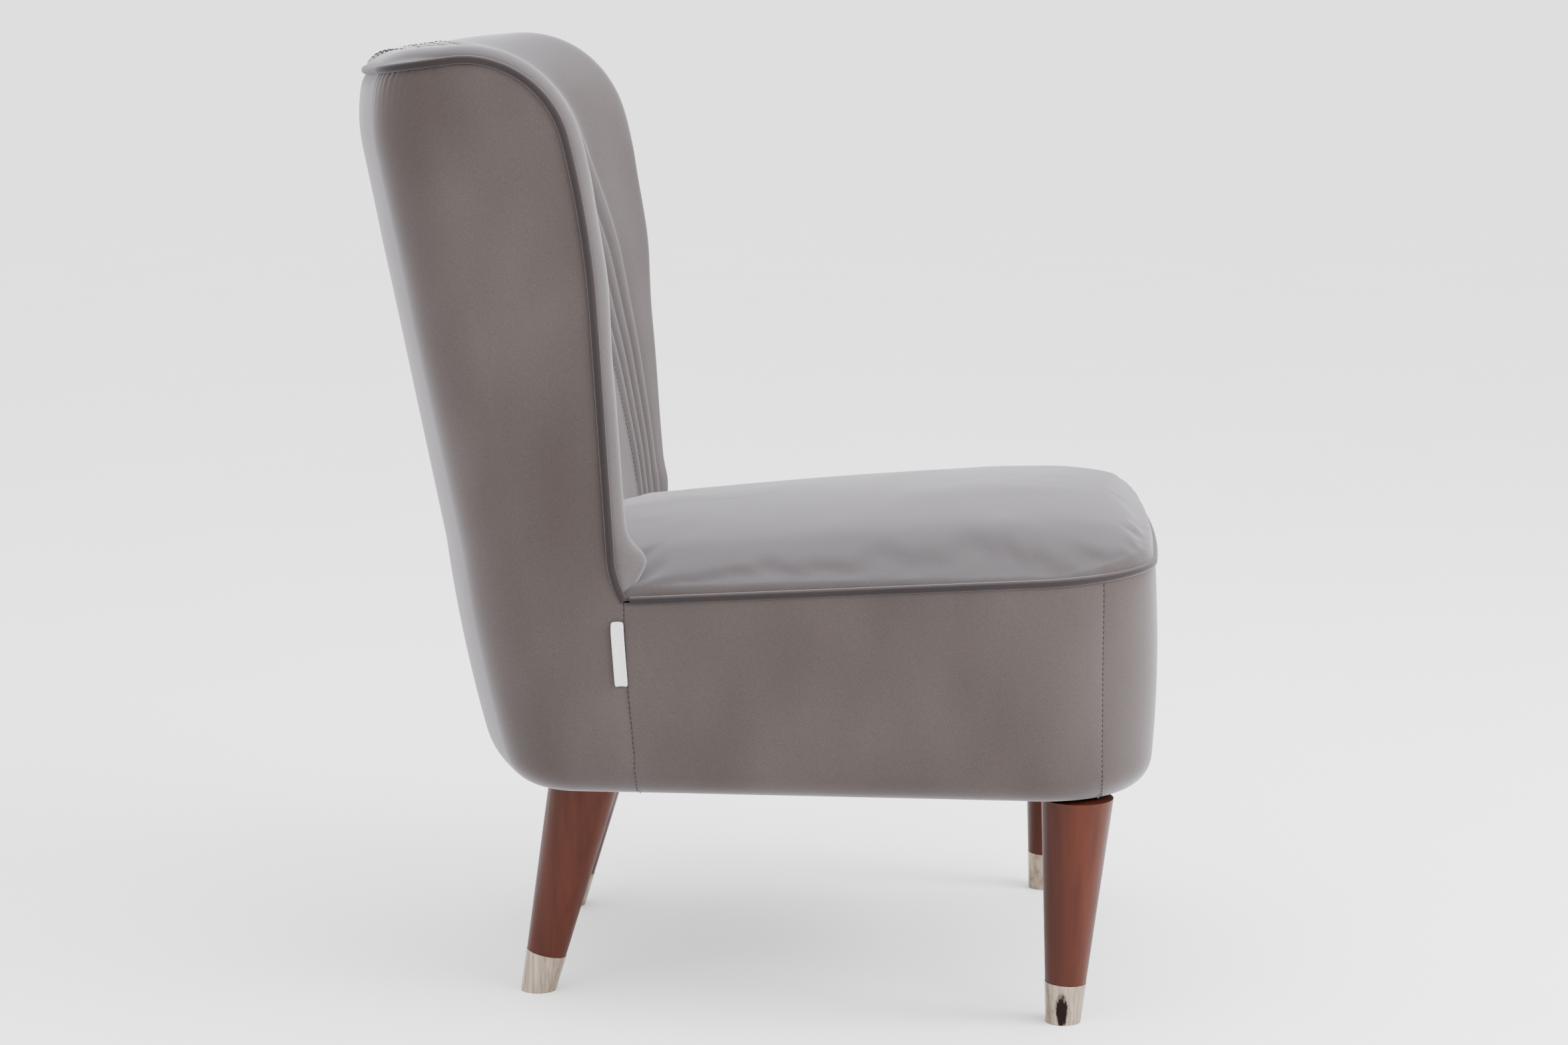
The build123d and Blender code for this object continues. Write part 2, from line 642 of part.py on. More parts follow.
def make_outer_back(shell):
    """Outer back cover, its padding and the liner board behind the frame."""
    opening = plan_prism(HEM_FLANGE, 0.0, BODY_BOTTOM + HEM_R)
    cover = (shell - opening) & back_region(WELT_R + WELT_GAP)
    save("outer_back_cover", cover)
    skin = COVER_T + SOFT_GAP
    above_hem = block((-FAR, FAR), (-FAR, FAR), (BODY_BOTTOM + HEM_R, FAR + FAR))
    padding = (body_column(skin) & above_hem) - body_column(skin + BACK_PADDING_T)
    save("outer_back_padding", padding & back_region(PADDING_SETBACK))
    liner_skin = skin + BACK_PADDING_T + SOFT_GAP
    liner = body_column(liner_skin) - body_column(liner_skin + LINER_T)
    foot, top = LINER_SPAN
    low = (post_y(foot, POST_D + LINER_GAP), foot)
    high = (post_y(top, POST_D + LINER_GAP), top)
    behind = side_prism([line_yz(low, high), line_yz(high, (FAR, top)),
                         line_yz((FAR, top), (FAR, foot)), line_yz((FAR, foot), low)])
    save("outer_back_liner", liner & behind)


def post_y(z, depth=0.0):
    """Front face of the back posts at a height, or a face further back."""
    return POST_FOOT_Y + depth + tan(radians(BACK_LEAN)) * (z - HEM_TOP)


def side_board(edges, inset, thickness):
    """Board set parallel to the left side wall from its side-view outline."""
    shift = (inset + thickness / 2) * TAPER_SIN / TAPER_COS
    face = Face(Wire(edges)).moved(Location((-inset - thickness, shift - SIDE_REF_Y, 0)))
    board = Solid.extrude(face, Vector(thickness, 0, 0))
    return board.moved(Location((HALF_WIDTH, SIDE_REF_Y, 0), (0, 0, SIDE_TAPER)))


def outline_yz(points):
    """Straight closed side outline."""
    return [line_yz(a, b) for a, b in zip(points, points[1:] + points[:1])]


def between_boards(shape, inset):
    """Trims a cross piece to a plane parallel to each side wall."""
    whole = outline_yz([(-FAR, 0.0), (FAR, 0.0), (FAR, 2 * FAR), (-FAR, 2 * FAR)])
    limit = side_board(whole, inset, FAR)
    return shape & limit & mirrored(limit)


def rear_disc(y, foot, top):
    """Upright drum whose rear face follows the curve of the back, through y on the centre line."""
    return Pos(0, y - REAR_ARC_R, (foot + top) / 2) * Cylinder(REAR_ARC_R, top - foot)


def curved_rail(y, thickness, foot, top):
    """Rail sawn to the curve of the back, fitted between the posts."""
    ring = rear_disc(y, foot, top) - rear_disc(y - thickness, foot - CUT_OVER, top + CUT_OVER)
    return between_boards(ring & block((-FAR, FAR), (0, FAR), (foot, top)), RAIL_INSET + POST_W)


def dowel(start, direction):
    """Dowel pin centred on a joint face."""
    plane = Plane(origin=start, z_dir=direction)
    return plane * Cylinder(DOWEL_R, DOWEL_L)


def dowel_hole(start, direction):
    """Hole for a dowel pin."""
    plane = Plane(origin=start, z_dir=direction)
    return plane * Cylinder(DOWEL_R + BORE_FIT, DOWEL_L + 2 * CUT_OVER)


def screw(origin, direction, length):
    """Countersunk wood screw whose head is flush at its origin."""
    plane = Plane(origin=origin, z_dir=direction)
    shank = plane * Pos(0, 0, length / 2) * Cylinder(SCREW_R, length)
    head = plane * Pos(0, 0, SCREW_HEAD_H / 2) * Cone(SCREW_HEAD_R, SCREW_R, SCREW_HEAD_H)
    return shank + head


def screw_hole(origin, direction, length):
    """Room for a wood screw."""
    plane = Plane(origin=origin, z_dir=direction)
    shank = plane * Pos(0, 0, length / 2) * Cylinder(SCREW_R + BORE_FIT, length + CUT_OVER)
    head_r = SCREW_HEAD_R + BORE_FIT
    head = plane * Pos(0, 0, SCREW_HEAD_H / 2) * Cone(head_r, SCREW_R + BORE_FIT, SCREW_HEAD_H)
    return shank + head


def cut(shape, tools):
    """Takes a list of tools out of a piece."""
    for tool in tools:
        shape = shape - tool
    return shape


def leg_place(foot, rake):
    """Frame of a leg: its foot on the floor, its axis up the leg."""
    return Location((foot[0], foot[1], 0), (rake, 0, 0))


def leg_radius(along):
    """Radius of a leg at a distance up its axis."""
    return LEG_FOOT_R + (LEG_TOP_R - LEG_FOOT_R) * along / (BODY_BOTTOM - DUST_T)


def leg_cone(place, start, end, shrink):
    """Stretch of a leg's taper, thinned by an amount."""
    height = end - start
    cone = Cone(leg_radius(start) - shrink, leg_radius(end) - shrink, height)
    return place * Pos(0, 0, (start + end) / 2) * cone


def make_leg(foot, rake):
    """Leg and ferrule, left side."""
    place = leg_place(foot, rake)
    over = HEM_R
    band = block((-FAR, FAR), (-FAR, FAR), (0, BODY_BOTTOM - DUST_T))
    wood = leg_cone(place, FERRULE_H, BODY_BOTTOM + over, 0.0)
    tenon = leg_cone(place, -over, FERRULE_H, FERRULE_T + FERRULE_FIT - FERRULE_PROUD)
    floor_gap = block((-FAR, FAR), (-FAR, FAR), (FERRULE_T + FERRULE_FIT, FAR))
    bolt_end = (BODY_BOTTOM - DUST_T) / cos(radians(rake)) - BOLT_IN_LEG
    bore = place * Pos(0, 0, bolt_end + FAR / 2) * Cylinder(BOLT_R + BORE_FIT, FAR)
    leg = ((wood + tenon) & band & floor_gap) - bore
    cup = leg_cone(place, -over, FERRULE_H, -FERRULE_PROUD)
    hollow = leg_cone(place, -over, FERRULE_H + CUT_OVER, FERRULE_T - FERRULE_PROUD)
    ferrule = (cup & band) - (hollow & block((-FAR, FAR), (-FAR, FAR), (FERRULE_T, FAR)))
    return leg, ferrule


def leg_bolt(foot, rake):
    """Hanger bolt of a leg."""
    place = leg_place(foot, rake)
    joint = (BODY_BOTTOM - DUST_T) / cos(radians(rake))
    length = BOLT_IN_LEG + BOLT_ABOVE
    return place * Pos(0, 0, joint - BOLT_IN_LEG + length / 2) * Cylinder(BOLT_R, length)


def leg_tnut(foot, rake):
    """T-nut that takes a leg's bolt."""
    place = leg_place(foot, rake)
    seat = BODY_BOTTOM / cos(radians(rake)) + TNUT_SEAT
    flange = place * Pos(0, 0, seat + TNUT_FLANGE_T / 2) * Cylinder(TNUT_FLANGE_R, TNUT_FLANGE_T)
    barrel = place * Pos(0, 0, seat - TNUT_BARREL / 2) * Cylinder(TNUT_BARREL_R, TNUT_BARREL)
    thread = place * Pos(0, 0, seat) * Cylinder(BOLT_R + BORE_FIT, FAR)
    return (flange + barrel) - thread


def leg_hole(foot, rake):
    """Drilled hole for a T-nut's barrel, with a spot-faced pocket for its flange."""
    place = leg_place(foot, rake)
    seat = BODY_BOTTOM / cos(radians(rake)) + TNUT_SEAT
    hole = place * Cylinder(TNUT_BARREL_R + BORE_FIT, FAR)
    pocket = place * Pos(0, 0, seat + FAR / 2) * Cylinder(TNUT_POCKET_R, FAR)
    return hole + pocket


def group(shapes):
    """Separate solids in one node."""
    return Compound(children=[solid for shape in shapes for solid in shape.solids()])


def staple_places():
    """Where the dust cover is stapled, as points and directions along its edge."""
    plan = plan_points(BODY_BOTTOM, STAPLE_INSET)
    places = []
    for share in range(STAPLES_FRONT):
        x = (share - (STAPLES_FRONT - 1) / 2) * STAPLE_STEP
        places.append(((x, plan["nose"][1] + STAPLE_SET_IN), 0.0))
    for share in range(STAPLES_SIDE):
        y = STAPLE_SIDE_Y + share * STAPLE_STEP
        x = side_x(y, STAPLE_INSET)
        places.append(((x, y), 90.0 + SIDE_TAPER))
        places.append(((-x, y), 90.0 - SIDE_TAPER))
    return places


def staple(place, swell=0.0):
    """Wire staple driven up through the dust cover."""
    (x, y), turn = place
    frame = Location((x, y, BODY_BOTTOM - DUST_T), (0, 0, turn))
    wire = STAPLE_WIRE + 2 * swell
    crown = Pos(0, 0, -STAPLE_WIRE / 2) * Box(STAPLE_SPAN + STAPLE_WIRE, STAPLE_WIRE, STAPLE_WIRE)
    prong = Pos(STAPLE_SPAN / 2, 0, STAPLE_DEPTH / 2) * Box(wire, wire, STAPLE_DEPTH + 2 * swell)
    other = Pos(-STAPLE_SPAN / 2, 0, STAPLE_DEPTH / 2) * Box(wire, wire, STAPLE_DEPTH + 2 * swell)
    return frame * ((prong + other) if swell else (crown + prong + other))


def spring_path(x, front, rear):
    """Zigzag of one sinuous spring between its two clips, in straight runs and half turns."""
    runs = SPRING_RUNS
    pitch = (rear - front) / (runs - 1)
    half = SPRING_RUN / 2
    edges = []
    for run in range(runs):
        y = front + run * pitch
        side = 1 if run % 2 == 0 else -1
        edges.append(Line((x - side * half, y, SPRING_Z), (x + side * half, y, SPRING_Z)))
        if run < runs - 1:
            turn = x + side * (half + pitch / 2)
            edges.append(ThreePointArc((x + side * half, y, SPRING_Z), (turn, y + pitch / 2, SPRING_Z),
                                       (x + side * half, y + pitch, SPRING_Z)))
    return Wire(edges)


def tube(path, radius):
    """Round bar swept along a path."""
    start = Plane(origin=path @ 0, z_dir=path % 0)
    return sweep(start * Circle(radius), path=path)


def seat_welt_path():
    """Seat welt, from the left wing round the front to the right wing, in the welt's plane."""
    plan = plan_points(WELT_FRONT_Z, WELT_SINK)
    end_y = JOIN_Y - 2 * WELT_R
    end = (side_x(end_y, WELT_SINK + belly(WELT_FRONT_Z)), end_y)

    def at(point, side=1):
        return (side * point[0], point[1], welt_z(point[1]))

    edges = [Line(at(end), at(plan["b"])), ThreePointArc(at(plan["b"]), at(plan["front_mid"]), at(plan["a"]))]
    edges.append(ThreePointArc(at(plan["a"]), at(plan["nose"]), at(plan["a"], -1)))
    edges.append(ThreePointArc(at(plan["a"], -1), at(plan["front_mid"], -1), at(plan["b"], -1)))
    edges.append(Line(at(plan["b"], -1), at(end, -1)))
    return Wire(edges)


def back_welt_path():
    """Back welt, up the left wing edge, round the rim and down the right wing edge."""
    sink = WELT_SINK + belly(WELT_FRONT_Z)

    def on_side(point):
        return (side_x(point[0], sink), point[0], point[1])

    join = (JOIN_Y, welt_z(JOIN_Y))
    hook_top = (wing_line_y(WING_HOOK_Z), WING_HOOK_Z)
    hook = ((hook_top[0] * 2 + join[0]) / 3, (hook_top[1] + join[1]) / 2)
    low = wing_sweep_point(WING_LEAN, 0.0)
    bend = wing_sweep_point((WING_LEAN + WING_SWEEP_END) / 2, 0.0)
    high = wing_arc_point(WING_SWEEP_END, 0.0)
    crown = 90.0 + RIM_SLOPE
    shoulder = wing_arc_point((WING_SWEEP_END + crown) / 2, 0.0)
    top = wing_arc_point(crown, 0.0)
    plan = plan_points(rim_z(WING_CORNER_Y), WELT_SINK)
    c, m, d, tail = [(plan[k][0], plan[k][1], rim_z(plan[k][1])) for k in ("c", "rear_mid", "d", "tail")]
    half = [(on_side(join), on_side(hook), on_side(hook_top)), (on_side(hook_top), on_side(low))]
    half.append((on_side(low), on_side(bend), on_side(high)))
    half.append((on_side(high), on_side(shoulder), on_side(top)))
    half.append((on_side(top), c))
    half.append((c, m, d))
    edges = [Line(*run) if len(run) == 2 else ThreePointArc(*run) for run in half]
    edges.append(ThreePointArc(d, tail, (-d[0], d[1], d[2])))
    for run in reversed(half):
        flipped = [(-x, y, z) for x, y, z in reversed(run)]
        edges.append(Line(*flipped) if len(flipped) == 2 else ThreePointArc(*flipped))
    return Wire(edges)


def foam_wire(h):
    """Slice of the back foam: behind the quilted cover, before webbing, posts and wing panels."""
    front = both_halves(panel_back(h, -FILL_SINK))
    edge_y = slice_edge_y(h)
    z = slice_point(0, post_y(h), h)[2]
    rear = post_y(z) - STRAP_T - POST_SKEW - SOFT_GAP
    wall = RAIL_INSET + SOFT_GAP
    nose = edge_y + WING_PANEL_SETBACK - FOAM_NOSE_GAP
    outer = (front[0][0], nose)
    inner = (side_x(nose, wall), nose)
    deep = (side_x(rear, wall), rear)
    left = [front[0], outer, inner, deep]
    right = [(-x, y) for x, y in left]
    loop = [slice_point(x, y, h) for x, y in right + left[::-1]]
    sides = [Line(a, b) for a, b in zip(loop, loop[1:])]
    return Wire(chain(front, h) + sides)


def make_back_foam():
    """Foam of the inside back and both wings."""
    low = LOWER_RAIL_Z + LOWER_RAIL_H + HEM_TOP - BODY_BOTTOM
    steps = PANEL_SLICES - 1
    levels = [low + step * (FOAM_TOP_H - low) / steps for step in range(PANEL_SLICES)]
    return Solid.make_loft([foam_wire(h) for h in levels]) - panel_sheet(SOFT_GAP)


def make_frame(foot_tools):
    """Timber frame, with its dowels and screws."""
    front_y = FRONT_Y + RAIL_INSET
    dowel_z = [RAIL_TOP - drop for drop in DOWEL_DROPS]
    rail_mid = front_y + RAIL_T - DOWEL_SETBACK
    side_mid = side_x(BLOCK_REAR_Y, RAIL_INSET + RAIL_T / 2)
    front_pins = [((FRONT_RAIL_HALF, rail_mid, z), (1, 0, 0)) for z in dowel_z]
    side_pins = [((side_mid, BLOCK_REAR_Y, z), (0, 1, 0)) for z in dowel_z]
    pins = [dowel(*pin) for pin in front_pins + side_pins]
    holes = [dowel_hole(*pin) for pin in front_pins + side_pins]
    front_rail = block((-FRONT_RAIL_HALF, FRONT_RAIL_HALF), (front_y, front_y + RAIL_T), (HEM_TOP, RAIL_TOP))
    front_rail = front_rail & plan_prism(RAIL_INSET, HEM_TOP, RAIL_TOP)
    save("front_rail", cut(front_rail, foot_tools + holes + [mirrored(hole) for hole in holes]))
    corner = plan_prism(RAIL_INSET, HEM_TOP, RAIL_TOP)
    corner = corner & block((FRONT_RAIL_HALF, FAR), (-FAR, BLOCK_REAR_Y), (0, FAR))
    corner = cut(corner, holes + foot_tools + [leg_hole(FRONT_FOOT, FRONT_RAKE)])
    save_pair("front_corner_block", corner)
    rail_rear = [post_y(z) for z in (HEM_TOP, RAIL_TOP)]
    rail = side_board(outline_yz([(-FAR, HEM_TOP), (rail_rear[0], HEM_TOP), (rail_rear[1], RAIL_TOP),
                                  (-FAR, RAIL_TOP)]), RAIL_INSET, RAIL_T)
    rail = rail & block((0, FAR), (BLOCK_REAR_Y, FAR), (0, FAR))
    post = side_board(outline_yz([(post_y(POST_FOOT), POST_FOOT), (post_y(POST_FOOT, POST_D), POST_FOOT),
                                  (post_y(POST_TOP, POST_D), POST_TOP), (post_y(POST_TOP), POST_TOP)]),
                      RAIL_INSET, POST_W)
    setback = WING_PANEL_SETBACK
    edges, end = wing_edges(setback, WING_HOOK_Z)
    rear_top = (post_y(POST_TOP, POST_D) - PANEL_CORNER_EASE, POST_TOP)
    foot = [(post_y(WING_PANEL_FOOT, POST_D), WING_PANEL_FOOT), (JOIN_Y + setback, WING_PANEL_FOOT)]
    start = (wing_line_y(WING_HOOK_Z, setback), WING_HOOK_Z)
    edges += [line_yz(end, rear_top), line_yz(rear_top, foot[0]), line_yz(foot[0], foot[1])]
    edges.append(line_yz(foot[1], start))
    panel = side_board(edges, RAIL_INSET - WING_PANEL_T, WING_PANEL_T)
    aim = (-TAPER_COS, -TAPER_SIN, 0)
    spots = [(post_y(z, POST_D / 2), z) for z in WING_SCREW_Z] + [(WING_RAIL_SCREW_Y, LOW_SCREW_Z)]
    starts = [(side_x(y, RAIL_INSET - WING_PANEL_T), y, z) for y, z in spots]
    wing_screws = [screw(start, aim, WING_SCREW_L) for start in starts]
    wing_holes = [screw_hole(start, aim, WING_SCREW_L) for start in starts]
    save_pair("side_rail", cut(rail, holes + foot_tools + wing_holes))
    save_pair("back_post", cut(post, wing_holes))
    save_pair("wing_panel", cut(panel, wing_holes))
    pair_pins = pins + [mirrored(pin) for pin in pins]
    save("frame_dowels", group(pair_pins))
    save("wing_panel_screws", group(wing_screws + [mirrored(item) for item in wing_screws]))
    save("back_top_rail", curved_rail(TOP_RAIL_Y, TOP_RAIL_T, TOP_RAIL_Z, POST_TOP))
    lower = block((-FAR, FAR), (LOWER_RAIL_Y, LOWER_RAIL_Y + LOWER_RAIL_T),
                  (LOWER_RAIL_Z, LOWER_RAIL_Z + LOWER_RAIL_H))
    save("back_lower_rail", between_boards(lower, RAIL_INSET + POST_W))
    board_top = HEM_TOP + LEG_BOARD_T
    board_screws = [(x, REAR_RAIL_Y - RAIL_T / 2 - sag(x), HEM_TOP) for x in BOARD_SCREW_X]
    board_holes = [screw_hole(start, (0, 0, 1), BOARD_SCREW_L) for start in board_screws]
    save("leg_board_screws", group([screw(start, (0, 0, 1), BOARD_SCREW_L) for start in board_screws]))
    save("rear_rail", cut(curved_rail(REAR_RAIL_Y, RAIL_T, board_top, RAIL_TOP), board_holes))
    board = block((-FAR, FAR), (LEG_BOARD_FRONT, FAR), (HEM_TOP, board_top))
    board = between_boards(board & rear_disc(REAR_RAIL_Y, HEM_TOP, board_top), RAIL_INSET + POST_W)
    rear_holes = [leg_hole(REAR_FOOT, REAR_RAKE)]
    save("rear_leg_board", cut(board, board_holes + rear_holes + [mirrored(hole) for hole in rear_holes]))


def sag(x):
    """How far the curve of the back falls forward of its middle at x."""
    return REAR_ARC_R - sqrt(REAR_ARC_R**2 - x**2)


def make_suspension():
    """Sinuous seat springs in their clips, and the elastic straps of the back."""
    front = FRONT_Y + RAIL_INSET + RAIL_T / 2
    springs = []
    clips = []
    for index in range(SPRINGS):
        x = (index - (SPRINGS - 1) / 2) * SPRING_STEP
        rear = REAR_RAIL_Y - RAIL_T / 2 - sag(x)
        springs.append(tube(spring_path(x, front, rear), SPRING_WIRE_R))
        for y in (front, rear):
            bore = Rot(0, 90, 0) * Cylinder(SPRING_WIRE_R + CLIP_BORE, 2 * CLIP_SIZE[0])
            clips.append(Pos(x, y, SPRING_Z) * (Box(*CLIP_SIZE) - bore))
    save("seat_springs", group(springs))
    save("spring_clips", group(clips))
    straps = []
    for index in range(STRAPS):
        z = STRAP_FOOT_Z + index * STRAP_STEP
        place = Location((0, post_y(z) - POST_SKEW - STRAP_T / 2, z), (-BACK_LEAN, 0, 0))
        straps.append(place * Box(2 * STRAP_HALF, STRAP_T, STRAP_H))
    save("back_webbing", group(straps))


def make_legs():
    """Legs, ferrules and their fasteners, and the dust cover that the bolts pass through."""
    bolts = []
    nuts = []
    holes = []
    for name, foot, rake in (("front", FRONT_FOOT, FRONT_RAKE), ("rear", REAR_FOOT, REAR_RAKE)):
        leg, ferrule = make_leg(foot, rake)
        save_pair(f"{name}_leg", leg)
        save_pair(f"{name}_ferrule", ferrule)
        bolt = leg_bolt(foot, rake)
        nut = leg_tnut(foot, rake)
        hole = leg_place(foot, rake) * Cylinder(TNUT_BARREL_R, FAR)
        bolts += [bolt, mirrored(bolt)]
        nuts += [nut, mirrored(nut)]
        holes += [hole, mirrored(hole)]
    save("leg_bolts", group(bolts))
    save("leg_tnuts", group(nuts))
    return holes


def make_tag():
    """Blank folded tag sewn into the right rear side seam."""
    top = TAG_FOOT_Z + TAG_H
    start = REAR_SEAM_FOOT_Y + (JOIN_Y - REAR_SEAM_FOOT_Y) * TAG_SEAM_SHARE
    outline = outline_yz([(start, TAG_FOOT_Z), (start + TAG_W, TAG_FOOT_Z), (start + TAG_W, top), (start, top)])
    save("seam_tag", mirrored(side_board(outline, -TAG_PROUD - TAG_T, TAG_T)))


if __name__ == "__main__":
    os.makedirs("parts", exist_ok=True)
    staples = [staple(place) for place in staple_places()]
    staple_holes = [staple(place, BORE_FIT) for place in staple_places()]
    bolt_holes = make_legs()
    shell = cut(body_column(0.0) - body_column(COVER_T), staple_holes + bolt_holes)
    space = back_space()
    make_base_covers(shell, make_seat(space), space)
    make_outer_back(shell)
    save("inside_back_cover", make_inside_back_cover())
    save("rim_padding", make_rim_padding())
    save("back_foam", make_back_foam())
    save("seat_welt", tube(seat_welt_path(), WELT_R))
    save("back_welt", tube(back_welt_path(), WELT_R))
    make_frame(staple_holes)
    make_suspension()
    dust = plan_prism(DUST_INSET, BODY_BOTTOM - DUST_T, BODY_BOTTOM)
    save("dust_cover", cut(dust, bolt_holes + staple_holes))
    save("dust_cover_staples", group(staples))
    make_tag()
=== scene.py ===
# %% [markdown]
# # An armless wing-back accent chair
#
# On the bench this chair is a timber frame with springs and foam, dressed in sewn pieces of velvet. The CAD
# frame gives every hard piece its size and place, and could be rendered as it is. But cloth looks like cloth
# only when it rolls, puckers and dips at its seams, so this lesson builds the covers as surfaces of their own
# over that frame, and makes each finish from shader nodes.

# %% Load the frame
import json
from math import atan2, cos, exp, hypot, pi, radians, sin, sqrt, tan

import bmesh
import bpy
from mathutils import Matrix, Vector, noise


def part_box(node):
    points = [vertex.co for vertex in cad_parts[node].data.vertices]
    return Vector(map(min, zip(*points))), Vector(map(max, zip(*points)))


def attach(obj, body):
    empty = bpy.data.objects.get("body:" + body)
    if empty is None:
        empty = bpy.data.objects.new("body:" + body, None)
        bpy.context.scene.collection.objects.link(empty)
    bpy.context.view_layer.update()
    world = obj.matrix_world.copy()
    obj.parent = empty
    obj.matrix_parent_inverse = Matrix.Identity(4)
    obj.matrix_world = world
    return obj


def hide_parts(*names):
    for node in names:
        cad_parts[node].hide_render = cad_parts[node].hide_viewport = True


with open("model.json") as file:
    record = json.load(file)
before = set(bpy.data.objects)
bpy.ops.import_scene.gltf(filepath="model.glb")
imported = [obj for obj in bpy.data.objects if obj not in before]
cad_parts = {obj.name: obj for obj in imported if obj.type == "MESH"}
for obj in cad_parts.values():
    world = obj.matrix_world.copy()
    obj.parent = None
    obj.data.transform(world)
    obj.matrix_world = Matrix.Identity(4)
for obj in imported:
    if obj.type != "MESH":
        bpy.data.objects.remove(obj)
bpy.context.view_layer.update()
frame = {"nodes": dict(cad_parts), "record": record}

# %% [markdown]
# ## The chair's measures
#
# An upholsterer works from a handful of sizes: how wide the seat is, how far the back leans, where the welts
# run. We could measure them off the frame's meshes. We write them down in millimetres instead, the same as
# in the frame's source, so that every surface below is a formula that can be read. The sitter faces -Y, and
# +X is the sitter's left.

# %% Measures
MM = 0.001
HALF_WIDTH, SIDE_REF_Y, TAPER = 289.0, -260.0, radians(3.6)      # side walls, closer together at the rear
FRONT_Y, FRONT_ARC_R, FRONT_CORNER_R = -369.0, 2400.0, 105.0     # bowed front and its corners
REAR_ARC_R, REAR_CORNER_R, REAR_FOOT_Y = 620.0, 70.0, 257.0      # rounded rear and its corners
BODY_BOTTOM, HEM_R, WELT_FRONT_Z = 207.0, 28.0, 413.0            # underside, its rolled edge, the seat welt
SEAT_H, SEAT_FALL, BACK_LEAN = 420.0, tan(radians(3.37)), tan(radians(11.27))
WING_Y, WING_Z, WING_R, SWEEP_R = 246.0, 766.0, 90.0, 850.0      # top corner and long sweep of a wing edge
SWEEP_LOW, SWEEP_HIGH = radians(3.5), radians(14.0)
RIM_SLOPE, RIM_CROWN = radians(7.9), 10.0
RIM_H = WING_Z + WING_R / cos(RIM_SLOPE)
RIM_FALL = tan(RIM_SLOPE)
JOIN_Y, HOOK_Z = 111.0, 428.0                                    # where the welts meet; top of the hook there
SEAM_FOOT_Y, FRONT_SEAM_Y = 98.0, -310.0                         # rear and front side seams
WELT_R, WELT_INSET = 3.75, 4.4


def mix(a, b, t):
    return a + (b - a) * t


def smooth(t):
    t = min(1.0, max(0.0, t))
    return t * t * (3 - 2 * t)


def wobble(x, y, z, size, amount):
    """Soft unevenness of a given wavelength, the same on every run."""
    return noise.noise(Vector((x, y, z)) / size) * amount


print("widest, mm:", 2 * HALF_WIDTH, "; top slice at the wing, mm:", round(RIM_H, 1))

# %% [markdown]
# ## Plan, wing edge and slices
#
# The body is a rounded plan with tapering sides, and each wing has a long swept edge with a round top corner.
# Both could be drawn as curves by hand. Small functions are used here because covers that meet at a seam can
# then ask for the same point. A slice is a level cut through the back that tilts more and more toward the
# slope of the rim, so the top slice lies in the rim itself.

# %% Outlines of the body
BELLY, BELLY_Z, BELLY_SPAN = 4.0, 320.0, 100.0    # the walls draw in above and below their fullest height
CURL_Z, CURL = 770.0, 300.0                       # the rear curls forward near the rim
SEAM_FOOT_Z, SEAM_STOP = 179.0, 26.0              # foot of the rear seam; its upright stretch under the welt


def side_x(y, inset=0.0):
    """Half width of the body, less an inset."""
    return HALF_WIDTH - inset / cos(TAPER) - (y - SIDE_REF_Y) * tan(TAPER)


def belly(z):
    """How far the walls draw in at a height."""
    return BELLY * ((min(z, WELT_FRONT_Z) - BELLY_Z) / BELLY_SPAN) ** 2


def rear_y(z):
    return REAR_FOOT_Y + BACK_LEAN * (z - BODY_BOTTOM) - max(0.0, z - CURL_Z) ** 2 / CURL


def welt_z(y):
    return WELT_FRONT_Z - SEAT_FALL * (y - FRONT_Y)


def corner_centre(radius, arc_y, arc_radius, side):
    """Centre of the round corner between a side wall and an end arc."""
    base_x = HALF_WIDTH - radius * cos(TAPER)
    base_y = SIDE_REF_Y - radius * sin(TAPER) - arc_y
    along = base_y * cos(TAPER) - base_x * sin(TAPER)
    run = sqrt(along**2 - base_x**2 - base_y**2 + (arc_radius - radius) ** 2)
    step = side * run - along
    return base_x - step * sin(TAPER), base_y + arc_y + step * cos(TAPER)


FRONT_AXIS = FRONT_Y + FRONT_ARC_R
FRONT_C = corner_centre(FRONT_CORNER_R, FRONT_AXIS, FRONT_ARC_R, -1)
FRONT_END = atan2(FRONT_C[1] - FRONT_AXIS, FRONT_C[0])
print("front corner centre, mm:", [round(v, 1) for v in FRONT_C])


# %% Outlines of the wings
def sweep_point(lean, offset=0.0):
    """Point on the long sweep of the wing edge."""
    centre_y = WING_Y + (SWEEP_R - WING_R) * cos(SWEEP_HIGH)
    centre_z = WING_Z - (SWEEP_R - WING_R) * sin(SWEEP_HIGH)
    reach = SWEEP_R - offset
    return centre_y - reach * cos(lean), centre_z + reach * sin(lean)


def wing_y(z, offset=0.0):
    """Wing edge at a height, seen from the side."""
    corner_z = WING_Z + (WING_R - offset) * sin(SWEEP_HIGH)
    low = sweep_point(SWEEP_LOW, offset)
    if z >= corner_z:
        rise = min(z - WING_Z, WING_R - offset)
        return WING_Y - sqrt((WING_R - offset) ** 2 - rise**2)
    if z >= low[1]:
        flat = sweep_point(0.0, offset)
        reach = SWEEP_R - offset
        return flat[0] + reach - sqrt(reach**2 - (z - flat[1]) ** 2)
    return low[0] - tan(SWEEP_LOW) * (low[1] - z)


def slice_z(y, h):
    """Height of the slice named h at a depth."""
    return h + RIM_FALL * min(1.0, max(0.0, (h - SEAT_H) / (RIM_H - SEAT_H))) * (WING_Y - y)


def edge_y(h, offset=0.0):
    """Wing edge on a slice."""
    y = wing_y(h, offset)
    for _ in range(5):
        y = wing_y(slice_z(y, h), offset)
    return y


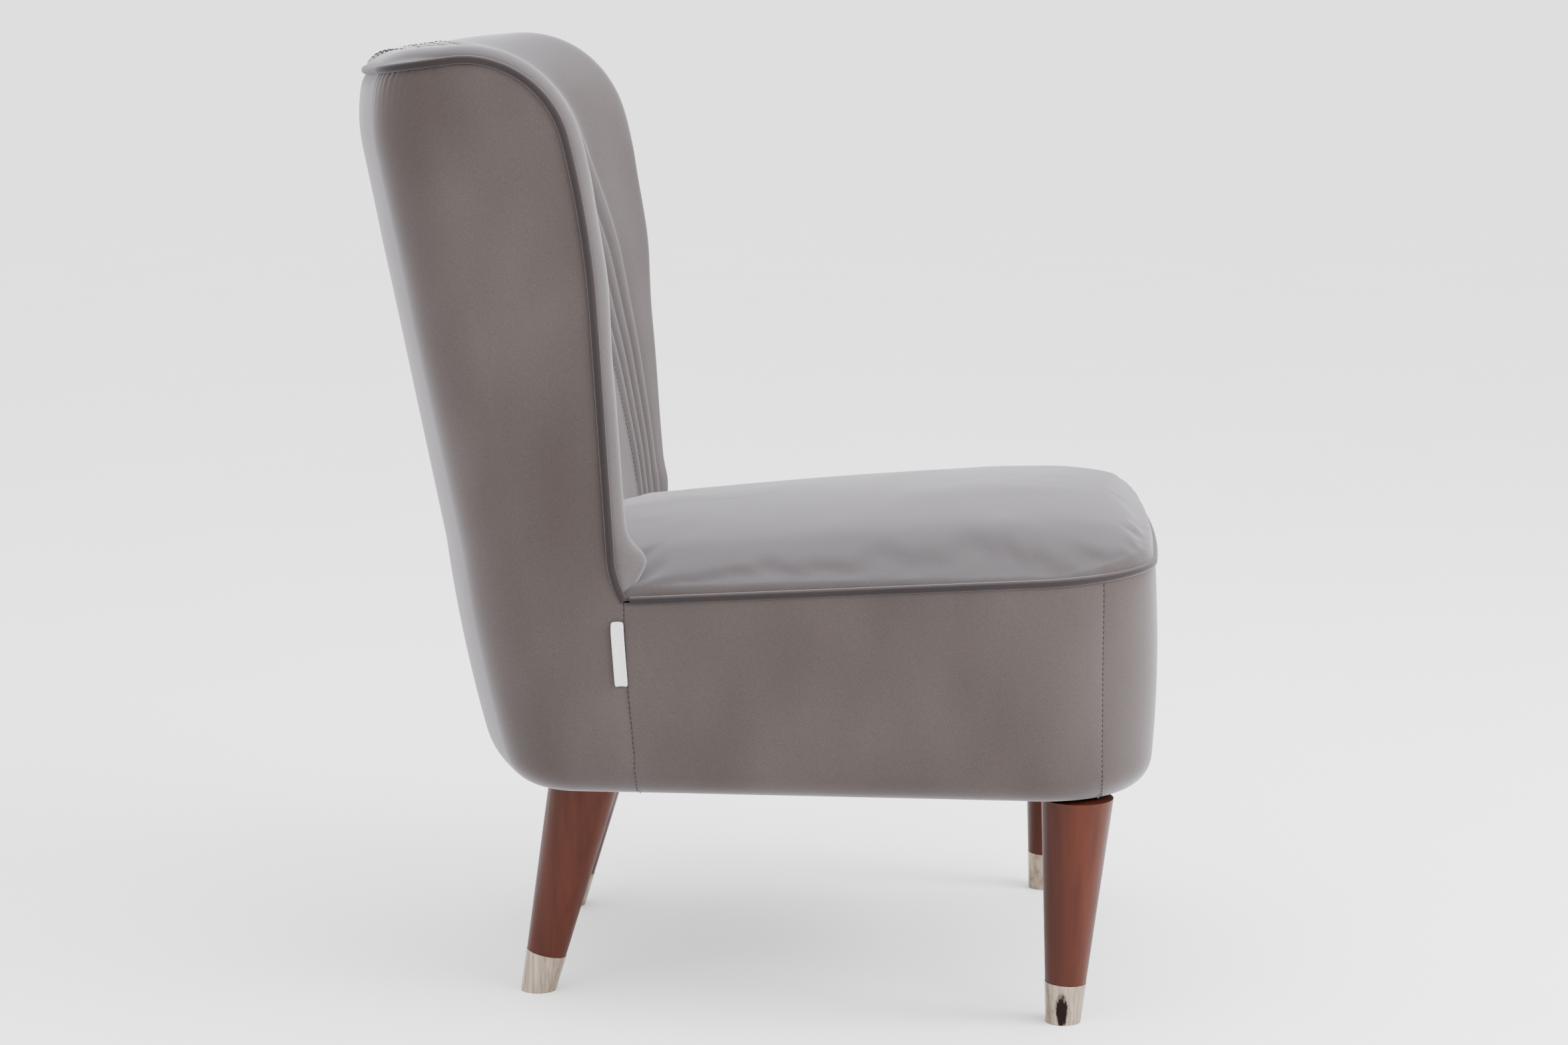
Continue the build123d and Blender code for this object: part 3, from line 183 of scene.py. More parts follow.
def seam_y(z):
    """Front edge of the outer back: side seam below, hook at the welts' meeting, wing edge above."""
    join_z = welt_z(JOIN_Y)
    if z < join_z:
        rise = (z - SEAM_FOOT_Z) / (join_z - SEAM_STOP - SEAM_FOOT_Z)
        return min(JOIN_Y, mix(SEAM_FOOT_Y, JOIN_Y, rise))
    if z < HOOK_Z:
        t = (z - join_z) / (HOOK_Z - join_z)
        return mix(JOIN_Y, wing_y(HOOK_Z), t * (2 - t))
    return edge_y(z)


print("wing edge at the seat and near the top, mm:", round(wing_y(SEAT_H), 1), round(wing_y(WING_Z), 1))

# %% [markdown]
# ## Shader helpers
#
# Each finish below is a small tree of shader nodes. They could be wired by hand in the shader editor. A few
# short functions that add a node and give back its output keep each material readable in a script.

# %% Nodes and coordinates
BLACK, WHITE = (0, 0, 0), (1, 1, 1)


def grey(value):
    return value, value, value


def shader(name):
    """New material with its node tree and principled shader."""
    material = bpy.data.materials.new(name)
    material.use_nodes = True
    tree = material.node_tree
    return material, tree, tree.nodes["Principled BSDF"]


def node(tree, kind, **values):
    """Adds a node and sets its inputs by name."""
    made = tree.nodes.new(kind)
    for key, value in values.items():
        made.inputs[key.replace("_", " ")].default_value = value
    return made


def coords(tree, scale=(1, 1, 1)):
    """Object coordinates, stretched."""
    source = tree.nodes.new("ShaderNodeTexCoord")
    mapping = node(tree, "ShaderNodeMapping", Scale=scale)
    tree.links.new(source.outputs["Object"], mapping.inputs["Vector"])
    return mapping.outputs["Vector"]


print("a grey of 0.5 as a colour:", grey(0.5))


# %% Maps and mixes
def noise_map(tree, vector, scale, detail=3.0, roughness=0.55):
    made = node(tree, "ShaderNodeTexNoise", Scale=scale, Detail=detail, Roughness=roughness)
    tree.links.new(vector, made.inputs["Vector"])
    return made.outputs["Fac"]


def ramp(tree, factor, stops):
    """Colour ramp with its stops in order."""
    made = tree.nodes.new("ShaderNodeValToRGB")
    first, last = made.color_ramp.elements
    first.position, first.color = stops[0][0], (*stops[0][1], 1)
    last.position, last.color = stops[-1][0], (*stops[-1][1], 1)
    for position, colour in stops[1:-1]:
        made.color_ramp.elements.new(position).color = (*colour, 1)
    tree.links.new(factor, made.inputs["Fac"])
    return made.outputs["Color"]


def blend(tree, factor, a, b, mode="MIX"):
    """Mixes two colours; each input is a value or another node's output."""
    made = tree.nodes.new("ShaderNodeMix")
    made.data_type, made.blend_type = "RGBA", mode
    for value, socket in ((factor, made.inputs[0]), (a, made.inputs[6]), (b, made.inputs[7])):
        if isinstance(value, (int, float, tuple)):
            socket.default_value = value
        else:
            tree.links.new(value, socket)
    return made.outputs[2]


def bump(tree, bsdf, height, strength, distance):
    made = node(tree, "ShaderNodeBump", Strength=strength, Distance=distance)
    tree.links.new(height, made.inputs["Height"])
    tree.links.new(made.outputs["Normal"], bsdf.inputs["Normal"])


print("shader helpers: noise_map, ramp, blend, bump")

# %% [markdown]
# ## Velvet
#
# Velvet is a short pile: dark when seen straight on and pale at its turning edges. It could be grown as hair,
# which is slow and doesn't export. A dark base with the shader's own sheen gives the same look. Faces that
# look up get a paler colour painted in, a painted sheen for the light from above. The inside back gets a
# lighter copy of the velvet, painted light for the lamps in front, and the bias strips of the welts are
# darker.

# %% Velvet
PATCH_SCALE, PILE_SCALE = 7.0, 900.0        # brushed patches and single tufts
PAINTED_SHEEN_FROM, PAINTED_SHEEN_FULL = 0.40, 0.98             # how far the surface faces up where the painted sheen starts and is full
SHEEN_TINT = (0.82, 0.79, 0.87, 1)


def velvet(name, dark, light, painted_sheen_colour, sheen):
    """Pile with a painted sheen colour where it faces up, and the shader's pale sheen at its turning edges.
    """
    material, tree, bsdf = shader(name)
    patches = noise_map(tree, coords(tree, (1, 1, 0.6)), PATCH_SCALE, 2.0)
    pile = noise_map(tree, coords(tree), PILE_SCALE, 2.0, 0.7)
    colour = ramp(tree, patches, [(0.3, dark), (0.7, light)])
    # painted sheen: faces that look up are mixed toward a paler colour, standing in for light from above
    upward = tree.nodes.new("ShaderNodeSeparateXYZ")
    tree.links.new(tree.nodes.new("ShaderNodeNewGeometry").outputs["Normal"], upward.inputs[0])
    painted_sheen_mask = ramp(tree, upward.outputs["Z"], [(PAINTED_SHEEN_FROM, BLACK), (PAINTED_SHEEN_FULL, WHITE)])
    colour = blend(tree, painted_sheen_mask, colour, (*painted_sheen_colour, 1))
    speck = ramp(tree, pile, [(0.3, grey(0.72)), (0.7, grey(1.18))])
    tree.links.new(blend(tree, 0.6, colour, speck, "MULTIPLY"), bsdf.inputs["Base Color"])
    bsdf.inputs["Sheen Weight"].default_value = sheen
    bsdf.inputs["Sheen Roughness"].default_value = 0.4
    bsdf.inputs["Sheen Tint"].default_value = SHEEN_TINT
    bsdf.inputs["Roughness"].default_value = 0.9
    bsdf.inputs["Specular IOR Level"].default_value = 0.12
    bump(tree, bsdf, pile, 0.25, 0.0006)
    return material


# the fourth colour of each velvet is its painted sheen on upward faces
materials = {
    "velvet": velvet("velvet", (0.037, 0.029, 0.027), (0.053, 0.043, 0.041), (0.044, 0.039, 0.041), 0.42),
    "welt": velvet("welt", (0.015, 0.0115, 0.0115), (0.022, 0.017, 0.017), (0.046, 0.039, 0.040), 0.30),
}
# painted light: a lighter copy of the velvet for the inside back, standing in for the lamps that fall on it
# from the front
painted_lit_velvet = velvet("velvet_painted_lit", (0.058, 0.049, 0.049), (0.080, 0.070, 0.071),
                    (0.088, 0.082, 0.089), 0.50)
print("velvets:", [material.name for material in (*materials.values(), painted_lit_velvet)])

# %% [markdown]
# ## Wood
#
# The legs are turned from a close-grained wood and stained red-brown under a satin lacquer; the hidden frame
# is plain pale timber. A photographed grain would need unwrapping. Noise stretched along each piece gives
# grain and pores at any size.


# %% Stained legs and frame timber
def wood(name, dark, middle, light, rough, along):
    """Grain and pores drawn out along one direction."""
    material, tree, bsdf = shader(name)
    vector = coords(tree, along)
    grain = noise_map(tree, vector, 14.0, 6.0, 0.62)
    pores = noise_map(tree, vector, 70.0, 3.0, 0.7)
    colour = ramp(tree, grain, [(0.28, dark), (0.5, middle), (0.74, light)])
    streak = ramp(tree, pores, [(0.38, (0.62, 0.58, 0.56)), (0.6, (1.0, 1.0, 1.0))])
    tree.links.new(blend(tree, 0.55, colour, streak, "MULTIPLY"), bsdf.inputs["Base Color"])
    gloss = ramp(tree, pores, [(0.3, grey(rough + 0.14)), (0.7, grey(rough))])
    tree.links.new(gloss, bsdf.inputs["Roughness"])
    bsdf.inputs["Specular IOR Level"].default_value = 0.16
    bump(tree, bsdf, pores, 0.12, 0.0004)
    return material


materials["leg_wood"] = wood("leg_wood", (0.021, 0.0036, 0.0015), (0.043, 0.0079, 0.0028),
                             (0.069, 0.0138, 0.0050), 0.40, (1, 1, 0.07))
materials["frame_wood"] = wood("frame_wood", (0.42, 0.29, 0.17), (0.56, 0.41, 0.25),
                               (0.68, 0.52, 0.34), 0.6, (0.2, 0.2, 1))
print("woods: leg_wood, frame_wood")

# %% [markdown]
# ## Metal
#
# The ferrules are cups of thin brushed sheet, scuffed by floors. One has a dark patch where its plating is
# rubbed away. That could be a painted mask; a round gradient, placed from the ferrule's own box and frayed
# with noise, needs no picture. Screws, springs and clips inside are zinc plated.

# %% Ferrules and plated steel
FERRULE_METAL, FERRULE_MARKS, FERRULE_ROUGH = (0.33, 0.262, 0.204), (0.10, 0.07, 0.05), 0.26
RUBBED_DARK = (0.012, 0.009, 0.008)
RUBBED_AT, RUBBED_REACH = (0.0, 0.60, 0.36), (0.6, 0.22, 0.66)    # shares of the ferrule's box


def metal(name, colour, scuff, rough):
    """Brushed sheet with small scuffs."""
    material, tree, bsdf = shader(name)
    brushed = noise_map(tree, coords(tree, (1, 1, 0.04)), 420.0, 2.0, 0.6)
    marks = noise_map(tree, coords(tree, (1, 1, 0.35)), 46.0, 4.0, 0.7)
    tone = ramp(tree, brushed, [(0.35, tuple(v * 0.62 for v in colour)), (0.65, colour)])
    worn = ramp(tree, marks, [(0.56, BLACK), (0.68, WHITE)])
    tree.links.new(blend(tree, worn, tone, (*scuff, 1)), bsdf.inputs["Base Color"])
    bsdf.inputs["Metallic"].default_value = 1.0
    gloss = ramp(tree, brushed, [(0.3, grey(rough + 0.1)), (0.7, grey(rough))])
    tree.links.new(gloss, bsdf.inputs["Roughness"])
    bump(tree, bsdf, brushed, 0.1, 0.0002)
    return material


def rubbed_ferrule(node_name):
    """The ferrule metal with one dark rubbed patch low on its outer side."""
    low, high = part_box(node_name)
    size = [b - a for a, b in zip(low, high)]
    centre = [a + share * s for a, share, s in zip(low, RUBBED_AT, size)]
    stretch = [1 / (share * s) for share, s in zip(RUBBED_REACH, size)]
    material = metal("rubbed_ferrule", FERRULE_METAL, FERRULE_MARKS, FERRULE_ROUGH)
    tree, bsdf = material.node_tree, material.node_tree.nodes["Principled BSDF"]
    shift = [-c * s for c, s in zip(centre, stretch)]
    placed = node(tree, "ShaderNodeMapping", Scale=stretch, Location=shift)
    tree.links.new(tree.nodes.new("ShaderNodeTexCoord").outputs["Object"], placed.inputs["Vector"])
    patch = tree.nodes.new("ShaderNodeTexGradient")
    patch.gradient_type = "SPHERICAL"
    tree.links.new(placed.outputs["Vector"], patch.inputs["Vector"])
    frayed = noise_map(tree, coords(tree, (1, 1, 0.3)), 330.0, 4.0, 0.7)
    total = tree.nodes.new("ShaderNodeMath")
    tree.links.new(patch.outputs["Fac"], total.inputs[0])
    tree.links.new(frayed, total.inputs[1])
    rubbed = ramp(tree, total.outputs[0], [(0.70, BLACK), (0.98, WHITE)])
    metal_tone = bsdf.inputs["Base Color"].links[0].from_socket
    tree.links.new(blend(tree, rubbed, metal_tone, (*RUBBED_DARK, 1)), bsdf.inputs["Base Color"])
    return material


materials["ferrule"] = metal("ferrule", FERRULE_METAL, FERRULE_MARKS, FERRULE_ROUGH)
materials["zinc_steel"] = metal("zinc_steel", (0.58, 0.58, 0.57), (0.30, 0.29, 0.27), 0.36)
print("metals: ferrule, zinc_steel")

# %% [markdown]
# ## What lies inside
#
# Foam, wadding, felt, webbing, board and cloth are all rough and dull, and hardly seen. Each could have a
# tree of its own. One function with two tones and a grain size is enough for all of them. Then every piece of
# the frame gets the finish that its slot names.


# %% Soft and fibrous finishes
def fibre(name, dark, light, scale, strength, rough=0.95):
    """Two tones in a fine grain, with a bump."""
    material, tree, bsdf = shader(name)
    texture = noise_map(tree, coords(tree), scale, 5.0, 0.65)
    tree.links.new(ramp(tree, texture, [(0.32, dark), (0.68, light)]), bsdf.inputs["Base Color"])
    bsdf.inputs["Roughness"].default_value = rough
    bump(tree, bsdf, texture, strength, 0.001)
    return material


materials.update({
    "liner_board": fibre("liner_board", (0.24, 0.16, 0.09), (0.36, 0.26, 0.16), 160.0, 0.3),
    "clip_plastic": fibre("clip_plastic", (0.03, 0.03, 0.03), (0.055, 0.055, 0.055), 500.0, 0.1, 0.5),
    "dust_cloth": fibre("dust_cloth", (0.006, 0.006, 0.007), (0.018, 0.018, 0.019), 700.0, 0.4),
    "felt": fibre("felt", (0.20, 0.19, 0.18), (0.38, 0.37, 0.36), 240.0, 0.5),
    "webbing": fibre("webbing", (0.05, 0.045, 0.04), (0.11, 0.10, 0.085), 380.0, 0.5),
    "foam": fibre("foam", (0.66, 0.58, 0.38), (0.80, 0.73, 0.53), 420.0, 0.5),
    "wadding": fibre("wadding", (0.70, 0.70, 0.68), (0.86, 0.86, 0.84), 130.0, 0.6),
    "tag": fibre("tag", (0.40, 0.40, 0.42), (0.52, 0.52, 0.53), 600.0, 0.2, 0.6),
})
print("finishes:", sorted(materials))

# %% Finishes go on the frame
slots = {part["node"]: part["material_slot"] for part in frame["record"]["subparts"]}
for name, slot in slots.items():
    item = frame["nodes"][name]
    item.data.materials.clear()
    item.data.materials.append(materials[slot])
frame["nodes"]["front_ferrule_right"].data.materials[0] = rubbed_ferrule("front_ferrule_right")
print(len(materials), "materials on", len(slots), "frame nodes")

# %% [markdown]
# ## Nets of cloth
#
# A cut piece of cloth has a length and a width, so each cover is a net of rows and columns. A NURBS surface
# would be smoother to begin with, but a mesh net lets us push single points for seams and puckers.
# Subdivision then rounds it, and Solidify gives it the thickness of cloth on its padding.

# %% Pieces from nets
WELD = 0.00002    # points closer than this, in metres, become one


def add_piece(name, verts, faces, slot, nodes=(), thickness=0.0, levels=1):
    mesh = bpy.data.meshes.new(name)
    mesh.from_pydata([[v * MM for v in point] for point in verts], [], faces)
    net_mesh = bmesh.new()
    net_mesh.from_mesh(mesh)
    bmesh.ops.remove_doubles(net_mesh, verts=net_mesh.verts, dist=WELD)
    for face in net_mesh.faces:
        face.smooth = True
    net_mesh.to_mesh(mesh)
    net_mesh.free()
    piece = bpy.data.objects.new(name, mesh)
    bpy.context.collection.objects.link(piece)
    mesh.materials.append(materials[slot])
    if thickness:
        shell = piece.modifiers.new("cloth", "SOLIDIFY")
        shell.thickness, shell.offset = thickness * MM, -1.0
    if levels:
        rounding = piece.modifiers.new("soft", "SUBSURF")
        rounding.levels = rounding.render_levels = levels
    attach(piece, "root")
    if nodes:
        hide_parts(*nodes)
    return piece


def net(rows, flip=False, closed=False):
    """Vertices and quads of a net of rows; closed joins the last column to the first."""
    width = len(rows[0])
    verts = [point for row in rows for point in row]
    faces = []
    for r in range(len(rows) - 1):
        for c in range(width if closed else width - 1):
            n = (c + 1) % width
            quad = [r * width + c, r * width + n, (r + 1) * width + n, (r + 1) * width + c]
            faces.append(quad[::-1] if flip else quad)
    return verts, faces


print("a net of 3 rows of 4 points has", len(net([[(0, 0, 0)] * 4] * 3)[1]), "faces")

# %% [markdown]
# ## Outer back
#
# One piece of velvet starts at the side seams and the wing edges, wraps the rear corners and rolls under the
# body. It could be a shell cut from the CAD solid. Building it slice by slice keeps its rows along the cloth,
# so it can be drawn in at the welt and gathered at the rear corners below the rim, as a sewn cover is.

# %% Halves and turned seams
SEAM_TURN, SEAM_FOLD, FOLD_SHARE = 5.0, 0.6, 0.08    # depth of a turned seam, its fold, and where it begins


def mirrored(points):
    """Points of a left half carried to the right, back from the centre line."""
    return [(-point[0], *point[1:]) for point in reversed(points)]


def half_and_mirror(half):
    """A left half up to the centre line, carried on to the right."""
    return half + mirrored(half[:-1])


def turned_in(row):
    """A row with its two ends turned in at the seams, with a tight fold."""
    def tuck(point, depth):
        x, y, z = point
        length = hypot(x, y)
        return x - x / length * depth, y - y / length * depth, z

    def beside(a, b):
        return tuple(mix(a[k], b[k], FOLD_SHARE) for k in range(3))

    first = [tuck(row[0], SEAM_TURN), tuck(row[0], SEAM_FOLD), row[0], beside(row[0], row[1])]
    last = [beside(row[-1], row[-2]), row[-1], tuck(row[-1], SEAM_FOLD), tuck(row[-1], SEAM_TURN)]
    return first + row[1:-1] + last


print("a half of 3 points makes a row of", len(half_and_mirror([(2, 0), (1, 0), (0, 0)])))

# %% Slices of the outer back
SEAM_FROM_Z = 215.0                                  # below this the covers keep the rear seam's place
HEM_TUCKED, HEM_FLAT, HEM_STEPS = 58.0, 43.0, 6      # cloth stapled under the body, and its rolled edge
LOW_SLICES, HOOK_SLICES = (245, 12.5, 12), (390, 8.0, 6)    # first height, step, how many
UPPER_FROM, UPPER_STEPS, UPPER_EASE = 445, 40, 1.7


def rear_half(h, inset, start_y, counts=(20, 40, 22)):
    """Left half of the outer back on a slice: side wall, rear corner, rear arc."""
    draw = inset + belly(h)
    axis = rear_y(slice_z(rear_y(h), h)) - REAR_ARC_R
    centre = corner_centre(REAR_CORNER_R, axis, REAR_ARC_R, 1)
    end = atan2(centre[1] - axis, centre[0])
    reach, far_reach = REAR_CORNER_R - draw, REAR_ARC_R - draw
    line_end = centre[1] + reach * sin(TAPER)
    points = []
    for k in range(counts[0]):
        y = mix(start_y, line_end, k / counts[0])
        points.append((side_x(y, draw), y))
    for k in range(counts[1]):
        angle = mix(TAPER, end, k / counts[1])
        points.append((centre[0] + reach * cos(angle), centre[1] + reach * sin(angle)))
    for k in range(counts[2] + 1):
        angle = mix(end, pi / 2, k / counts[2])
        points.append((far_reach * cos(angle), axis + far_reach * sin(angle)))
    return [(x, y, slice_z(y, h)) for x, y in points]


def hem_rows():
    """Height and inset of the rows that roll under the body, from the tucked edge up."""
    rows = [(BODY_BOTTOM, HEM_TUCKED), (BODY_BOTTOM, HEM_FLAT)]
    for step in range(HEM_STEPS + 1):
        angle = step * pi / (2 * HEM_STEPS)
        rows.append((BODY_BOTTOM + HEM_R * (1 - cos(angle)), HEM_R * (1 - sin(angle))))
    return rows


def ladder(first, step, count):
    return [first + step * k for k in range(count)]


def back_levels():
    """Slices above the hem, closer together at the hook and toward the rim."""
    eased = [1 - (1 - k / UPPER_STEPS) ** UPPER_EASE for k in range(UPPER_STEPS + 1)]
    upper = [UPPER_FROM + (RIM_H - UPPER_FROM) * share for share in eased]
    return ladder(*LOW_SLICES) + ladder(*HOOK_SLICES) + upper


print("outer back:", len(hem_rows()), "hem rows and", len(back_levels()), "slices")

# %% Outer back cover
SEAM_TUCK, WING_TUCK, RIM_TUCK, TUCK_W = 1.3, 3.0, 3.0, 7.0    # drawn in at side seam, wing edge and rim
GATHER_DEPTH, GATHER_REACH, GATHER_STEP = 2.4, 12.0, 4         # puckers under the rim: mm, mm, columns each
GATHER_START, GATHER_STOP = (14, 10), (68, 14)                 # column, and columns to fade over
GATHER_FULL, GATHER_VARIES, GATHER_APART = 0.6, (23.0, 0.9), 40.0    # mean; noise size, amount and stride
PULL_Y = 40                                                    # the cover is drawn toward this depth
SLACK_SIZE, SLACK = 120.0, 1.6                                 # slow unevenness of the panel


def gathered(c, h):
    """Depth of the puckers in a column, on a slice."""
    started = smooth((c - GATHER_START[0]) / GATHER_START[1])
    at_corner = started * smooth((GATHER_STOP[0] - c) / GATHER_STOP[1])
    fullness = GATHER_FULL + wobble(GATHER_APART * (c // GATHER_STEP), 0, 0, *GATHER_VARIES)
    wave = 0.5 - 0.5 * cos(2 * pi * c / GATHER_STEP)
    return GATHER_DEPTH * at_corner * fullness * wave * exp(-(RIM_H - h) / GATHER_REACH)


rows = []
for z, inset in hem_rows():
    rows.append(half_and_mirror(rear_half(z, inset, seam_y(max(z, SEAM_FROM_Z)))))
for h in back_levels():
    half = rear_half(h, 0.0, seam_y(h))
    depth = SEAM_TUCK if h < HOOK_Z else WING_TUCK
    shaped = []
    for c, (x, y, z) in enumerate(half):
        near_edge = hypot(y - half[0][1], z - half[0][2])
        tuck = depth * exp(-(near_edge / TUCK_W) ** 2) + RIM_TUCK * exp(-((RIM_H - h) / TUCK_W) ** 2)
        pull = tuck + gathered(c, h) + min(0.0, wobble(x, y, z, SLACK_SIZE, SLACK))
        share = pull / hypot(x, y - PULL_Y)
        shaped.append((x - x * share, y - (y - PULL_Y) * share, z))
    rows.append(half_and_mirror(shaped))
rows = [turned_in(row) for row in rows]
outer_back = add_piece("outer_back_velvet", *net(rows), "velvet", ["outer_back_cover"], 2.0)
print("outer back:", len(rows), "rows of", len(rows[0]))

# %% [markdown]
# ## Boxed sides
#
# Two side covers and a front band box in the seat, sewn together near the front corners. One closed strip
# would be simpler, but each seam is a place where cloth turns in, so they are three pieces with a tight fold
# at their ends. They swell a little between the welt and the hem.


# %% Plans of the sides and the band
def on_front_corner(reach, angle):
    return FRONT_C[0] + reach * cos(angle), FRONT_C[1] + reach * sin(angle)


def front_half(z, inset, start_y, stop_y, counts):
    """Left wall from a point on the side to a point on the corner, and the angle where it stops."""
    draw = inset + belly(z)
    reach = FRONT_CORNER_R - draw
    turn = atan2(stop_y - FRONT_C[1], sqrt(max(1.0, reach**2 - (stop_y - FRONT_C[1]) ** 2)))
    line_end = on_front_corner(reach, TAPER)[1]
    points = []
    for k in range(counts[0]):
        y = mix(start_y, line_end, k / counts[0])
        points.append((side_x(y, draw), y))
    for k in range(counts[1] + 1):
        points.append(on_front_corner(reach, mix(TAPER, turn, k / counts[1])))
    return points, turn


def band_half(z, inset, counts=(14, 24)):
    """Left half of the front band: rest of the corner, then the front arc to the centre."""
    draw = inset + belly(z)
    reach, far_reach = FRONT_CORNER_R - draw, FRONT_ARC_R - draw
    turn = front_half(z, inset, 0.0, FRONT_SEAM_Y, (1, 1))[1]
    points = []
    for k in range(counts[0]):
        points.append(on_front_corner(reach, mix(turn, FRONT_END, k / counts[0])))
    for k in range(counts[1] + 1):
        angle = mix(FRONT_END, -pi / 2, k / counts[1])
        points.append((far_reach * cos(angle), FRONT_AXIS + far_reach * sin(angle)))
    return points


def side_plan(z, inset):
    return front_half(z, inset, seam_y(max(z, SEAM_FROM_Z)), FRONT_SEAM_Y, (40, 8))[0]


def band_plan(z, inset):
    return half_and_mirror(band_half(z, inset))


print("side and band points:", len(side_plan(BELLY_Z, 0.0)), len(band_plan(BELLY_Z, 0.0)))

# %% Side covers and front band
BOX_ROWS, BOX_TOP, UNDER_WELT = 18, 400.0, 0.5
SEAM_DIP, SEAM_DIP_W, WELT_DIP, WELT_DIP_W, DIP_CAP = 1.3, 5.0, 2.6, 6.0, 1.6
SWELL, PUCKERS, PUCKER_REACH = (90.0, 1.4), (15.0, 1.0), 16.0    # noise size and amount; fade below the welt


def boxed(plan, gap):
    """Rows of a boxed cover from the tucked hem to the welt; gap gives the distance to its nearest seam."""
    rows = []
    for z, inset in hem_rows():
        rows.append([(x, y, z) for x, y in plan(z, inset)])
    foot = BODY_BOTTOM + HEM_R
    for k in range(1, BOX_ROWS + 1):
        rise = k / BOX_ROWS
        row = []
        for c, (_, y) in enumerate(plan(mix(foot, BOX_TOP, rise), 0.0)):
            top = welt_z(y) - UNDER_WELT
            z = mix(foot, top, rise)
            x, y = plan(z, 0.0)[c]
            dip = SEAM_DIP * exp(-(gap(y, z) / SEAM_DIP_W) ** 2)
            dip += WELT_DIP * exp(-((top - z) / WELT_DIP_W) ** 2)
            puckers = wobble(x + y, 0, 0, *PUCKERS) * exp(-(top - z) / PUCKER_REACH)
            dip += wobble(x, y, z, *SWELL) + puckers
            dip = min(dip, DIP_CAP)
            length = hypot(x, y)
            row.append((x - x / length * dip, y - y / length * dip, z))
        rows.append(row)
    return [turned_in(row) for row in rows]


left_side = boxed(side_plan, lambda y, z: min(abs(y - FRONT_SEAM_Y), abs(y - seam_y(z))))
right_side = [[(-x, y, z) for x, y, z in row] for row in left_side]
side_left = add_piece("side_velvet_left", *net(left_side, flip=True), "velvet", ["side_cover_left"], 2.0)
side_right = add_piece("side_velvet_right", *net(right_side), "velvet", ["side_cover_right"], 2.0)
band = boxed(band_plan, lambda y, z: abs(y - FRONT_SEAM_Y))
front_band = add_piece("front_band_velvet", *net(band, flip=True), "velvet", ["front_band_cover"], 2.0)
print("side cover:", len(left_side), "rows; band:", len(band[0]), "columns")

# %% [markdown]
# ## Inside back
#
# From each welt the cover rolls forward over the padded wing edge, falls into the hollow of the back and is
# sewn in a fan of lines that start close together at the seat and spread to the rim. Sculpting that by hand
# would not keep the lines even. Here each row follows the welt: straight up the wing, round its top corner
# and back along the rim, so the roll keeps its fullness all the way and the folds lie between the lines.

# %% Hollow, fan and rolled edge
FAN_FOOT, FAN_TOP = (227.0, 217.0, 207.0, 197.0, 187.0), (160.0, 136.5, 113.0, 89.5, 66.0)
FAN_BEND = 1.6
PANEL_TOP = RIM_H + RIM_CROWN
WING_ROLL, EDGE_INSET, ROLL_FULL = 13.0, 26.0, 0.9                  # rolled edge: forward, inward, roundness
MIDDLE_FOOT_Y, MIDDLE_LEAN, MIDDLE_CURL_Z, MIDDLE_CURL_R = 160.0, tan(radians(12.5)), 760.0, 118.0
HOLLOW = 2.2                                                        # how late the hollow turns into the wing
ROLL_STEPS, FOLD_STEPS, MIDDLE_STEPS = 14, 8, 16
FOLD_PUFF, FOLD_DIP, FOLD_FADE = 0.26, 1.6, 4.0


def crest(h):
    """Foremost line of the rolled wing edge on a slice."""
    y = edge_y(h, -WING_ROLL)
    return side_x(y, EDGE_INSET), y


def centre_y(h):
    """Middle of the back, leaning and then curling over to the rim."""
    rise = max(0.0, h - MIDDLE_CURL_Z)
    lean = MIDDLE_FOOT_Y + MIDDLE_LEAN * (h - SEAT_H)
    return lean + MIDDLE_CURL_R - sqrt(MIDDLE_CURL_R**2 - rise**2)


def inside_y(x, h, peak):
    return centre_y(h) - (centre_y(h) - peak[1]) * (abs(x) / peak[0]) ** HOLLOW


def fan_lines(h):
    rise = min(1.0, max(0.0, (h - SEAT_H) / (PANEL_TOP - SEAT_H))) ** FAN_BEND
    return [mix(foot, top, rise) for foot, top in zip(FAN_FOOT, FAN_TOP)]


def inside_row(edge, peak, middle, h):
    """Left half of a row: welt, rolled edge up to its peak, folds, plain middle."""
    points = []
    for k in range(ROLL_STEPS):
        angle = k / ROLL_STEPS * pi / 2
        out, on = cos(angle) ** ROLL_FULL, sin(angle) ** ROLL_FULL
        points.append((mix(peak[0], edge[0], out), mix(edge[1], peak[1], on), mix(edge[2], peak[2], on)))

    def hollow(x, forward):
        share = (abs(x) / peak[0]) ** HOLLOW
        points.append((x, mix(middle[1], peak[1], share) - forward, mix(middle[2], peak[2], share)))

    last = peak[0]
    for number, line in enumerate(fan_lines(h)):
        width = last - line
        for k in range(FOLD_STEPS):
            t = k / FOLD_STEPS
            puff = FOLD_PUFF * width * (1 - abs(2 * t - 1) ** 3.0) - FOLD_DIP if number else -FOLD_DIP * t**6
            hollow(mix(last, line, t), puff)
        last = line
    for k in range(MIDDLE_STEPS + 1):
        x = mix(last, 0.0, k / MIDDLE_STEPS)
        hollow(x, -FOLD_DIP * exp(-(last - x) / FOLD_FADE))
    return points


print("fan lines at the seat and the rim, mm:", FAN_FOOT, FAN_TOP)

# %% [markdown]
# ## Rows up the wing and over the rim
#
# The rows first climb the wings, then fan round the top corner, then roll back over the rim to its welt. One
# long formula would have to cover all three; three short loops are easier to follow. Where the right wing
# edge stands on the seat, its padding spreads forward into a small foot, which the left one hardly has.

